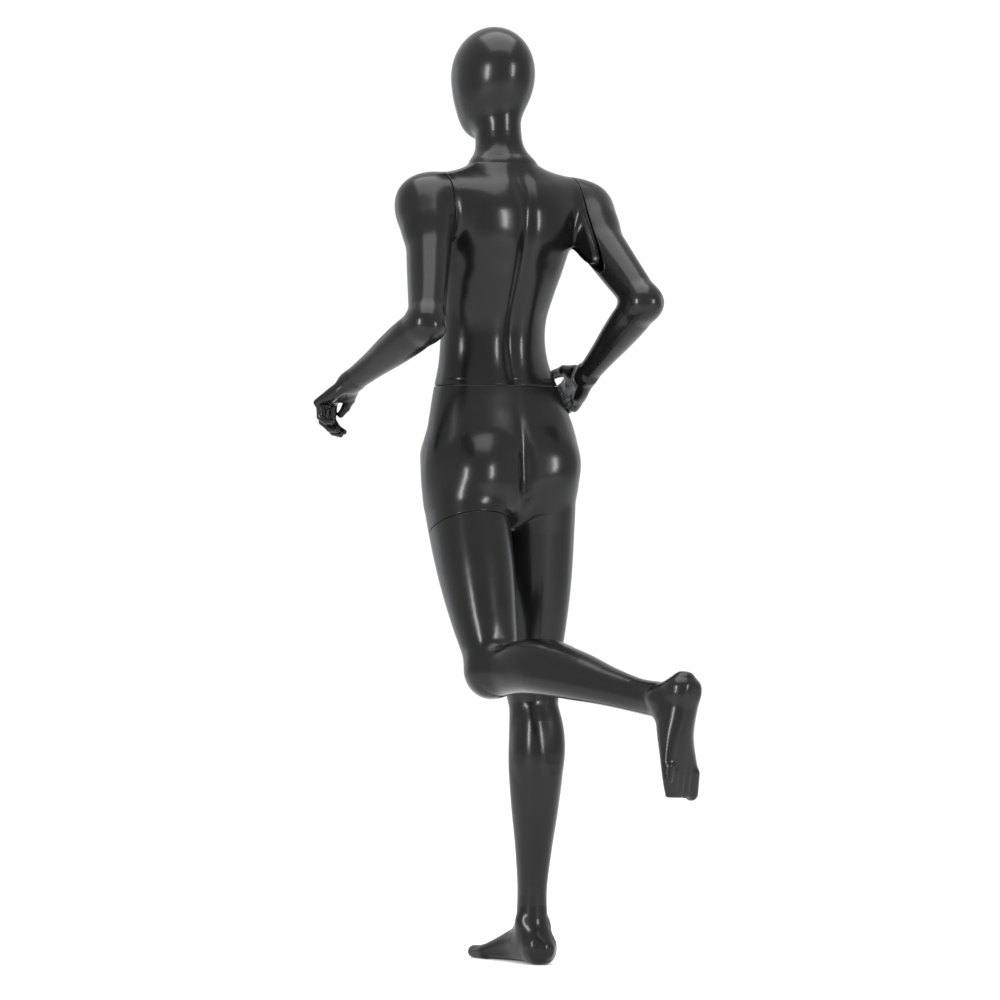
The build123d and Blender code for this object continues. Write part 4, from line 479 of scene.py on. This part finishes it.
FL_F = unit(np.array([0.0648, -0.0911, -1.0000])); FL_U = -unit(shl - (shl @ FL_F) * FL_F)
FL_LAT = np.cross(FL_F, FL_U)
footL = Foot(ANK_L - FL_U * 0.078, FL_F, FL_U, -FL_LAT)

def glutes(P):
    f = None
    for s in (1, -1):
        g = ell(P, (s * 0.074, 0.052, 0.985), (0.074, 0.070, 0.082))
        f = g if f is None else smin(f, g, 0.012)
    return f

def tilted(P):
    s = np.clip((1.150 - P[:, 2]) / 0.09, 0, 1); s = s * s * (3 - 2 * s)
    Q = P.copy(); Q[:, 2] = P[:, 2] + 0.11 * P[:, 0] * s
    return Q

def pelvis(P):
    P = tilted(P)
    f = trunk(P)
    f = smin(f, glutes(P), 0.025)
    Q = P.copy(); Q[:, 0] = np.abs(Q[:, 0])
    f = f + 0.010 * gauss(Q, (0, 0.125, 0.985), (0.008, 0.04, 0.06))
    f = f + 0.006 * gauss(Q, (0.135, 0.03, 0.985), (0.03, 0.035, 0.04))
    f = smin(f, ell(P, (0, -0.072, 0.925), (0.042, 0.046, 0.055)), 0.03)
    return f


def hips_low(P):
    return smin(pelvis(P), legR(P), 0.02)


tilt = np.radians(22.0)
flat = unit(np.array([legL.td[0], legL.td[1], 0.0]))
SEAM_N = np.array([0.0, 0.0, -np.cos(tilt)]) + flat * np.sin(tilt)
SEAM_C = HIP_L + legL.td * 0.084
WAIST = 1.158
SEAMX = 0.145
HALF = 0.0008
BIG = 0.05


def masked(fn, P, m):
    out = np.full(len(P), BIG)
    if m.any():
        out[m] = fn(P[m])
    return out


def f_upper(P):
    f = upper_full(P)
    f = smin(f, masked(armL.upper, P, (P[:, 0] > 0.05) & (P[:, 2] > 1.25)), 0.022)
    return smin(f, masked(armR.upper, P, (P[:, 0] < -0.05) & (P[:, 2] > 1.25)), 0.022)


def f_arm(A, H, s):
    def f(P):
        g = smin(A(P), masked(H, P, np.linalg.norm(P - H.o, axis=1) < 0.23), 0.012)
        near = (P[:, 0] * s < 0.30) & (P[:, 2] > 1.33) & (P[:, 0] * s > 0.10)
        return smin(g, masked(upper_full, P, near) + np.maximum(1.42 - P[:, 2], 0) * 0.8, 0.022)
    return f


def f_lower(P):
    f = smin(pelvis(P), legR(P), 0.02)
    f = smin(f, masked(footR, P, P[:, 2] < 0.22), 0.022)
    near = (P[:, 2] > 0.80) & (P[:, 0] > 0.0) & ((P - SEAM_C) @ SEAM_N < 0.02)
    return smin(f, masked(legL.th, P, near), 0.014)


def f_legl(P):
    f = smin(legL(P), masked(footL, P, (P[:, 1] > 0.45)), 0.022)
    near = (P[:, 2] > 0.80) & (P[:, 1] < 0.25)
    f = smin(f, masked(hips_low, P, near), 0.014)
    return np.where(near & (P[:, 0] < 0.0065), BIG, f)


def grad(fn, P, e=0.0004):
    g = np.empty_like(P)
    for k in range(3):
        d = np.zeros(3); d[k] = e
        g[:, k] = (fn(P + d) - fn(P - d)) / (2 * e)
    return g


def net(fn, lo, hi, h, relax=3):
    """quads on fn = 0, pulled onto the exact surface"""
    lo = np.asarray(lo, float); hi = np.asarray(hi, float)
    S = 6
    n = (np.ceil((hi - lo) / h / S).astype(int) * S) + 1
    ax = [lo[k] + h * np.arange(n[k]) for k in range(3)]
    nb = (n - 1) // S
    cx = [ax[k][::S] for k in range(3)]
    X, Y, Z = np.meshgrid(*cx, indexing="ij")
    C = fn(np.stack([X.ravel(), Y.ravel(), Z.ravel()], 1)).reshape(X.shape)
    near = np.abs(C) < 1.75 * S * h
    blk = np.zeros(nb, bool)
    for i in (0, 1):
        for j in (0, 1):
            for k in (0, 1):
                blk |= near[i:i + nb[0], j:j + nb[1], k:k + nb[2]]
    F = np.repeat(np.repeat(np.repeat(C, S, 0), S, 1), S, 2)[:n[0], :n[1], :n[2]].copy()
    M = np.zeros(n, bool)
    for b in np.argwhere(blk):
        i, j, k = b * S
        M[i:i + S + 1, j:j + S + 1, k:k + S + 1] = True
    idx = np.argwhere(M)
    P = lo + idx * h
    vals = np.concatenate([fn(P[a:a + 300000]) for a in range(0, len(P), 300000)])
    F[M] = vals
    I = F < 0
    # vertices: one for each mixed cell
    c = [I[a:a + n[0] - 1, b:b + n[1] - 1, d:d + n[2] - 1] for a in (0, 1) for b in (0, 1) for d in (0, 1)]
    al = np.logical_and.reduce(c); an = np.logical_or.reduce(c)
    mixed = an & ~al
    cells = np.argwhere(mixed)
    num = -np.ones(mixed.shape, int); num[mixed] = np.arange(len(cells))
    V = lo + (cells + 0.5) * h
    Q = []
    for k in range(3):
        a = [slice(None)] * 3; b = [slice(None)] * 3
        a[k] = slice(0, n[k] - 1); b[k] = slice(1, n[k])
        A, B = I[tuple(a)], I[tuple(b)]
        e = np.argwhere(A != B)
        o = [(k + 1) % 3, (k + 2) % 3]
        ok = (e[:, o[0]] > 0) & (e[:, o[1]] > 0) & (e[:, o[0]] < n[o[0]] - 1) & (e[:, o[1]] < n[o[1]] - 1)
        e = e[ok]
        flip = ~A[tuple(e.T)]
        q = []
        for du, dv in ((0, 0), (-1, 0), (-1, -1), (0, -1)):
            t = e.copy(); t[:, o[0]] += du; t[:, o[1]] += dv
            q.append(num[tuple(t.T)])
        q = np.stack(q, 1)
        q[flip] = q[flip][:, ::-1]
        Q.append(q)
    Q = np.concatenate(Q)
    Q = Q[(Q >= 0).all(1)]
    E = np.concatenate([Q[:, [0, 1]], Q[:, [1, 2]], Q[:, [2, 3]], Q[:, [3, 0]]])

    def onto(V, m=2):
        for _ in range(m):
            f = fn(V); g = grad(fn, V); gg = np.maximum((g * g).sum(1), 0.05)
            step = (f / gg)[:, None] * g
            L = np.linalg.norm(step, axis=1)[:, None]
            V = V - step * np.minimum(1, h * 1.2 / np.maximum(L, 1e-9))
        return V
    V = onto(V, 2)
    for r in range(relax):
        s = np.zeros_like(V); w = np.zeros(len(V))
        for a, b in ((0, 1), (1, 0)):
            for k in range(3):
                s[:, k] += np.bincount(E[:, a], V[E[:, b], k], len(V))
            w += np.bincount(E[:, a], minlength=len(V))
        w = np.maximum(w, 1)
        V = V + 0.6 * (s / w[:, None] - V)
        V = onto(V, 1)
    V = onto(V, 1)
    return V, Q


def largest(V, Q, seed):
    """the connected part nearest to the seed"""
    lab = np.arange(len(V))
    E = np.concatenate([Q[:, [0, 1]], Q[:, [1, 2]], Q[:, [2, 3]], Q[:, [3, 0]]])
    while True:
        m = np.minimum(lab[E[:, 0]], lab[E[:, 1]])
        new = lab.copy()
        np.minimum.at(new, E[:, 0], m); np.minimum.at(new, E[:, 1], m)
        new = new[new]
        if (new == lab).all():
            break
        lab = new
    used = np.zeros(len(V), bool); used[Q.ravel()] = True
    k = lab[np.argmin(np.where(used, ((V - seed) ** 2).sum(1), 1e9))]
    keep = (lab == k) & used
    num = np.cumsum(keep) - 1
    return V[keep], num[Q[keep[Q].all(1)]]


ROUND = 0.0013
SHIFT = np.array([0.075, 0.0, 0.0])


def piece(name, parts, cuts, body, mat, replaced, fn, limit=None):
    """parts: list of (V, Q); cuts: list of (point, normal towards the gap, test)"""
    bm = bmesh.new()
    for V, Q in parts:
        vs = [bm.verts.new(v) for v in V]
        for q in Q.tolist():
            if len(set(q)) == 4:
                try:
                    bm.faces.new([vs[i] for i in q])
                except ValueError:
                    pass
    bm.verts.ensure_lookup_table()
    for c, nrm, test in cuts:
        p = Vector(c) - Vector(nrm) * (HALF + ROUND)
        geom = list(bm.verts) + list(bm.edges) + list(bm.faces)
        bmesh.ops.bisect_plane(bm, geom=geom, dist=1e-5, plane_co=p, plane_no=Vector(nrm), clear_outer=False, clear_inner=False)
        dead = [f for f in bm.faces if (f.calc_center_median() - p).dot(Vector(nrm)) > 0 and test(f.calc_center_median())]
        bmesh.ops.delete(bm, geom=dead, context="FACES")
    loose = [v for v in bm.verts if not v.link_faces]
    bmesh.ops.delete(bm, geom=loose, context="VERTS")
    # list the vertices, the faces and the open edges left by the cuts
    bm.verts.ensure_lookup_table(); bm.verts.index_update()
    V = np.array([v.co[:] for v in bm.verts])
    F = [[v.index for v in f.verts] for f in bm.faces]
    be = [(e.verts[0].index, e.verts[1].index, e.link_faces[0]) for e in bm.edges if len(e.link_faces) == 1]
    rims = []
    for a, b, f in be:
        ids = [v.index for v in f.verts]
        i = ids.index(a)
        rims.append((a, b) if ids[(i + 1) % len(ids)] == b else (b, a))
    bm.free()
    G = grad(fn, V); G /= np.maximum(np.linalg.norm(G, axis=1), 1e-9)[:, None]
    verts = [V]; norms = [G]; faces = list(F)
    base = len(V)
    bv = sorted({i for e in rims for i in e})
    if bv:
        bv = np.array(bv)
        Pb = V[bv]; Gb = G[bv]
        D = np.full((len(bv), len(cuts)), 1e9)
        for k, (c, nrm, test) in enumerate(cuts):
            D[:, k] = np.abs((Pb - np.asarray(c)) @ np.asarray(nrm) + HALF + ROUND)
        k = D.argmin(1)
        T = np.array([np.asarray(c[1], float) for c in cuts])[k]
        ok = D.min(1) < 0.004
        T[~ok] = 0
        N = Gb - (Gb * T).sum(1)[:, None] * T; N /= np.maximum(np.linalg.norm(N, axis=1), 1e-9)[:, None]
        rings = []
        # the seat of the surface on the cut, then a rounded lip, the edge face and the inside wall
        prof = []
        for th in (30, 60, 90):
            t = math.radians(th)
            prof.append((ROUND * math.sin(t), ROUND * (1 - math.cos(t)), math.sin(t), math.cos(t)))
        prof.append((ROUND, ROUND + 0.0006, 1.0, 0.0))
        prof.append((ROUND, 0.0040, 1.0, 0.0))
        prof.append((ROUND, 0.0041, 0.3, -0.95))
        prof.append((-0.012, 0.0041, 0.0, -1.0))
        at = {int(v): i for i, v in enumerate(bv)}
        prev = bv.copy()
        off = base
        for a_t, a_n, n_t, n_n in prof:
            verts.append(Pb + T * a_t - N * a_n)
            nn = T * n_t + N * n_n
            norms.append(nn)
            cur = np.arange(off, off + len(bv)); off += len(bv)
            for a, b in rims:
                i, j = at[a], at[b]
                faces.append([int(prev[j]), int(prev[i]), int(cur[i]), int(cur[j])])
            prev = cur
    V = np.concatenate(verts); N = np.concatenate(norms)
    N /= np.maximum(np.linalg.norm(N, axis=1), 1e-9)[:, None]
    V = V + SHIFT
    V[:, 2] = np.maximum(V[:, 2], 0.0)
    V = np.clip(V, np.array(lo0[:]) + [1e-5, 1e-5, 0], np.array(hi0[:]) - 1e-5)
    me = bpy.data.meshes.new(name)
    me.from_pydata(V.tolist(), [], faces)
    me.update()
    me.polygons.foreach_set("use_smooth", [True] * len(me.polygons))
    me.normals_split_custom_set_from_vertices(N.tolist())
    me.materials.append(mat)
    o = bpy.data.objects.new(name, me)
    bpy.context.scene.collection.objects.link(o)
    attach(o, body)
    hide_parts(*replaced)
    print("piece", name, len(V), "verts", [round(float(x), 4) for x in V.min(0)], [round(float(x), 4) for x in V.max(0)], "%.0fs" % (time.time() - T0))
    return o

# ---------------------------------------------------------------- materials


def nodes_of(name):
    m = bpy.data.materials.new(name)
    m.use_nodes = True
    nt = m.node_tree
    nt.nodes.clear()
    out = nt.nodes.new("ShaderNodeOutputMaterial")
    b = nt.nodes.new("ShaderNodeBsdfPrincipled")
    nt.links.new(b.outputs[0], out.inputs[0])
    return m, nt, b


def noise(nt, co, scale, detail=4.0, rough=0.5, dist=0.0):
    n = nt.nodes.new("ShaderNodeTexNoise")
    n.inputs["Scale"].default_value = scale
    n.inputs["Detail"].default_value = detail
    n.inputs["Roughness"].default_value = rough
    n.inputs["Distortion"].default_value = dist
    nt.links.new(co, n.inputs["Vector"])
    return n.outputs["Fac"]


def ramp(nt, src, stops):
    r = nt.nodes.new("ShaderNodeValToRGB")
    e = r.color_ramp.elements
    while len(e) < len(stops):
        e.new(0.5)
    for k, (p, c) in enumerate(stops):
        e[k].position = p
        e[k].color = tuple(c) + (1.0,) if len(c) == 3 else (c[0], c[0], c[0], 1.0)
    nt.links.new(src, r.inputs[0])
    return r.outputs[0]


def maths(nt, op, a, b):
    n = nt.nodes.new("ShaderNodeMath")
    n.operation = op
    for k, v in enumerate((a, b)):
        if isinstance(v, (int, float)):
            n.inputs[k].default_value = v
        else:
            nt.links.new(v, n.inputs[k])
    return n.outputs[0]


def bump(nt, height, strength, distance):
    n = nt.nodes.new("ShaderNodeBump")
    n.inputs["Strength"].default_value = strength
    n.inputs["Distance"].default_value = distance
    nt.links.new(height, n.inputs["Height"])
    return n.outputs[0]


def coords(nt):
    return nt.nodes.new("ShaderNodeTexCoord").outputs["Object"]


def lacquer():
    """gloss black lacquer over a moulded shell: orange peel, faint dust and handling haze"""
    m, nt, b = nodes_of("gloss_black_lacquer")
    co = coords(nt)
    haze = noise(nt, co, 7.0, 5.0, 0.6)
    fine = noise(nt, co, 90.0, 3.0, 0.55)
    dust = noise(nt, co, 900.0, 2.0, 0.5)
    specks = ramp(nt, dust, [(0.0, (0.0,)), (0.70, (0.0,)), (0.80, (1.0,))])
    base = ramp(nt, haze, [(0.30, (0.0026, 0.0027, 0.0031)), (0.62, (0.0048, 0.0047, 0.0049)), (0.80, (0.0070, 0.0067, 0.0066))])
    mix = nt.nodes.new("ShaderNodeMix"); mix.data_type = "RGBA"
    nt.links.new(maths(nt, "MULTIPLY", specks, 0.30), mix.inputs[0])
    nt.links.new(base, mix.inputs[6]); mix.inputs[7].default_value = (0.030, 0.030, 0.032, 1)
    nt.links.new(mix.outputs[2], b.inputs["Base Color"])
    r = maths(nt, "ADD", maths(nt, "MULTIPLY", haze, 0.085), maths(nt, "MULTIPLY", fine, 0.040))
    r = maths(nt, "ADD", r, maths(nt, "MULTIPLY", specks, 0.10))
    r = maths(nt, "ADD", r, 0.185)
    nt.links.new(r, b.inputs["Roughness"])
    b.inputs["IOR"].default_value = 1.46
    b.inputs["Specular IOR Level"].default_value = 0.20
    b.inputs["Coat Weight"].default_value = 0.05
    b.inputs["Coat Roughness"].default_value = 0.10
    b.inputs["Coat IOR"].default_value = 1.48
    # orange peel of about 2-3 mm and a slow waviness of the moulded shell
    peel = noise(nt, co, 330.0, 2.0, 0.45)
    wave = noise(nt, co, 26.0, 2.0, 0.4)
    h = maths(nt, "ADD", maths(nt, "MULTIPLY", peel, 0.10), maths(nt, "MULTIPLY", wave, 1.0))
    n = bump(nt, h, 0.32, 0.0011)
    nt.links.new(n, b.inputs["Normal"])
    n2 = bump(nt, peel, 0.20, 0.00022)
    nt.links.new(n2, b.inputs["Coat Normal"])
    return m


def board_mat():
    m, nt, b = nodes_of("fibre_board_darkened_for_gap_shade")
    co = coords(nt)
    a = noise(nt, co, 420.0, 6.0, 0.7); c = noise(nt, co, 30.0, 3.0, 0.5)
    v = maths(nt, "ADD", maths(nt, "MULTIPLY", a, 0.7), maths(nt, "MULTIPLY", c, 0.3))
    # painted shade: the board is coloured near-black so that where it shows through the seam gaps it reads as the dark
    # shade inside those gaps; the small spread of the ramp is fibre tone
    nt.links.new(ramp(nt, v, [(0.30, (0.016, 0.014, 0.013)), (0.60, (0.032, 0.028, 0.025)), (0.80, (0.075, 0.058, 0.044))]), b.inputs["Base Color"])
    nt.links.new(maths(nt, "ADD", maths(nt, "MULTIPLY", a, 0.2), 0.68), b.inputs["Roughness"])
    nt.links.new(bump(nt, a, 0.5, 0.0004), b.inputs["Normal"])
    return m


def plastic_mat():
    m, nt, b = nodes_of("moulded_grey_plastic")
    co = coords(nt)
    a = noise(nt, co, 700.0, 3.0, 0.6); c = noise(nt, co, 20.0, 3.0, 0.5)
    nt.links.new(ramp(nt, c, [(0.3, (0.055, 0.056, 0.060)), (0.7, (0.095, 0.096, 0.10))]), b.inputs["Base Color"])
    nt.links.new(maths(nt, "ADD", maths(nt, "MULTIPLY", c, 0.2), 0.42), b.inputs["Roughness"])
    nt.links.new(bump(nt, a, 0.4, 0.00012), b.inputs["Normal"])
    return m


def metal_mat(name, lo, hi, rough, stretch=(1.0, 1.0, 14.0)):
    m, nt, b = nodes_of(name)
    co = coords(nt)
    mp = nt.nodes.new("ShaderNodeMapping"); mp.inputs["Scale"].default_value = stretch
    nt.links.new(co, mp.inputs["Vector"])
    a = noise(nt, mp.outputs[0], 160.0, 5.0, 0.65); c = noise(nt, co, 45.0, 3.0, 0.5)
    nt.links.new(ramp(nt, c, [(0.28, lo), (0.72, hi)]), b.inputs["Base Color"])
    b.inputs["Metallic"].default_value = 1.0
    nt.links.new(maths(nt, "ADD", maths(nt, "MULTIPLY", a, 0.22), rough), b.inputs["Roughness"])
    nt.links.new(bump(nt, a, 0.35, 0.00015), b.inputs["Normal"])
    return m


def beech():
    m, nt, b = nodes_of("beech_dowel")
    co = coords(nt)
    mp = nt.nodes.new("ShaderNodeMapping"); mp.inputs["Scale"].default_value = (1.0, 1.0, 0.12)
    nt.links.new(co, mp.inputs["Vector"])
    a = noise(nt, mp.outputs[0], 600.0, 5.0, 0.6)
    nt.links.new(ramp(nt, a, [(0.3, (0.40, 0.25, 0.13)), (0.7, (0.66, 0.47, 0.29))]), b.inputs["Base Color"])
    nt.links.new(maths(nt, "ADD", maths(nt, "MULTIPLY", a, 0.2), 0.5), b.inputs["Roughness"])
    nt.links.new(bump(nt, a, 0.4, 0.0002), b.inputs["Normal"])
    return m


BLACK = lacquer()
kinds = {
    "board": board_mat(), "grey_fitting_plastic": plastic_mat(),
    "zinc_screw": metal_mat("zinc_plate", (0.50, 0.50, 0.47), (0.68, 0.68, 0.66), 0.24),
    "magnet_nickel": metal_mat("nickel_plate", (0.56, 0.54, 0.50), (0.72, 0.70, 0.66), 0.10),
    "dowel_wood": beech(),
    "steel_fitting": metal_mat("turned_steel", (0.40, 0.40, 0.41), (0.60, 0.60, 0.61), 0.20),
}
slot_of = {s["node"]: s["material_slot"] for s in frame["record"]["subparts"]}
for node, obj in frame["nodes"].items():
    k = slot_of.get(node)
    if k in kinds:
        for sl in obj.material_slots:
            sl.material = kinds[k]

# ---------------------------------------------------------------- the five shells
H = 0.0042
HF = 0.0026      # arms and hands


def bounds_of(pts, r):
    pts = np.array(pts); return pts.min(0) - r, pts.max(0) + r


def fine(fn, lo, hi, h):
    return net(fn, lo, hi, h)


for ft in (footL, footR):
    ft.toes = [(tx, y0 - 0.004, y1 - 0.0045, r, h) for tx, y0, y1, r, h in ft.toes]
V, Q = net(f_upper, [-0.20, -0.17, 1.12], [0.20, 0.17, 1.90], H)
V, Q = largest(V, Q, np.array([0, 0.1, 1.4]))
always = lambda p: True
upper = piece("torso_and_head", [(V, Q)],
              [((0, 0, WAIST), (0, 0, -1.0), lambda p: True),
               ((SEAMX, 0, 0), (1.0, 0, 0), lambda p: True),
               ((-SEAMX, 0, 0), (-1.0, 0, 0), lambda p: True)], "upper", BLACK, ["upper_body"], f_upper)

pts = [HIP_R, ANK_R, footR.o]
V, Q = net(f_lower, [-0.21, -0.22, -0.012], [0.21, 0.17, 1.19], H * 0.85)
V, Q = largest(V, Q, np.array([-0.08, 0.05, 0.5]))
sc, sn = tuple(SEAM_C), tuple(SEAM_N)
lower = piece("pelvis_and_right_leg", [(V, Q)],
              [((0, 0, WAIST), (0, 0, 1.0), lambda p: True),
               (sc, sn, lambda p: p[0] > 0.004 and p[2] > 0.70)], "lower", BLACK, ["lower_body"], f_lower)

lo, hi = bounds_of([HIP_L, KNE_L, ANK_L, footL.o + footL.fwd * 0.2], 0.115)
V, Q = net(f_legl, lo, hi, H * 0.8)
V, Q = largest(V, Q, KNE_L + np.array([0, -0.05, 0]))
leg = piece("left_leg_shell", [(V, Q)], [(sc, tuple(-SEAM_N), lambda p: p[2] > 0.75)], "left_leg", BLACK, ["left_leg"], f_legl)

for A, Hd, s, nm in ((armL, handL, 1, "left"), (armR, handR, -1, "right")):
    fa = f_arm(A, Hd, s)
    tips = [f[0][-1] for f in Hd.fingers] + [f[0][0] for f in Hd.fingers] + [Hd.thumb[0][-1]]
    lo, hi = bounds_of([A.sho, A.elb, A.wri] + tips, 0.07)
    V, Q = net(fa, lo, hi, HF)
    V, Q = largest(V, Q, A.elb + A.back * 0.04)
    piece(nm + "_arm_shell", [(V, Q)], [((s * SEAMX, 0, 0), (-s * 1.0, 0, 0), lambda p, s=s: p[2] > 1.38)], nm + "_arm", BLACK, [nm + "_arm"], fa)

# ---------------------------------------------------------------- stage, lights, camera


def simple(name, col, rough):
    m, nt, b = nodes_of(name)
    co = coords(nt)
    a = noise(nt, co, 3.0, 3.0, 0.5)
    nt.links.new(ramp(nt, a, [(0.3, tuple(c * 0.985 for c in col)), (0.7, col)]), b.inputs["Base Color"])
    b.inputs["Roughness"].default_value = rough
    b.inputs["Specular IOR Level"].default_value = 0.2
    return m


pale = simple("pale_floor", (0.985, 0.985, 0.985), 0.8)
fm = bpy.data.meshes.new("floor")
fm.from_pydata([(-30, -30, 0), (30, -30, 0), (30, 30, 0), (-30, 30, 0)], [], [(0, 1, 2, 3)])
fo = bpy.data.objects.new("floor", fm); bpy.context.scene.collection.objects.link(fo)
fm.materials.append(pale)
fo.location.z = -0.0004

VIEW = Vector((-0.46947, -0.88295, 0.0))       # the way the camera looks
RIGHT = Vector((-0.88295, 0.46947, 0.0))
MID = Vector((0.075, 0.0, 0.93))
cam = bpy.data.cameras.new("camera"); co = bpy.data.objects.new("camera", cam)
bpy.context.scene.collection.objects.link(co)
co.location = MID - VIEW * 9.0
co.rotation_euler = VIEW.to_track_quat("-Z", "Y").to_euler()
cam.lens = 162.0; cam.sensor_width = 36.0
cam.clip_end = 200
bpy.context.scene.camera = co


def area(name, along, side, up, w, h, power, colour=(1, 1, 1), aim=(0, 0, 0.98)):
    l = bpy.data.lights.new(name, "AREA"); l.shape = "RECTANGLE"; l.size = w; l.size_y = h
    l.energy = power; l.color = colour
    o = bpy.data.objects.new(name, l); bpy.context.scene.collection.objects.link(o)
    o.location = Vector((0.075, 0, 0)) - VIEW * along + RIGHT * side + Vector((0, 0, up))
    d = Vector((0.075, 0, 0)) + Vector(aim) - o.location
    o.rotation_euler = d.to_track_quat("-Z", "Y").to_euler()
    return o


area("strip_left", 3.2, -2.7, 1.75, 0.60, 1.9, 165)
area("strip_right", 3.0, 2.6, 1.75, 0.60, 1.9, 140)
area("overhead", 0.2, 0.0, 3.6, 2.4, 2.4, 90, aim=(0, 0, 0.9))
area("rim_left", -2.2, -2.6, 1.4, 1.0, 2.2, 5, (0.80, 0.89, 1.0))
area("rim_right", -2.2, 2.6, 1.4, 1.0, 2.2, 5, (0.80, 0.89, 1.0))

w = bpy.data.worlds.new("white_studio"); bpy.context.scene.world = w
w.use_nodes = True
bg = w.node_tree.nodes["Background"]
bg.inputs[0].default_value = (1.0, 1.0, 1.0, 1); bg.inputs[1].default_value = 1.04
bpy.context.scene.view_settings.view_transform = "Standard"
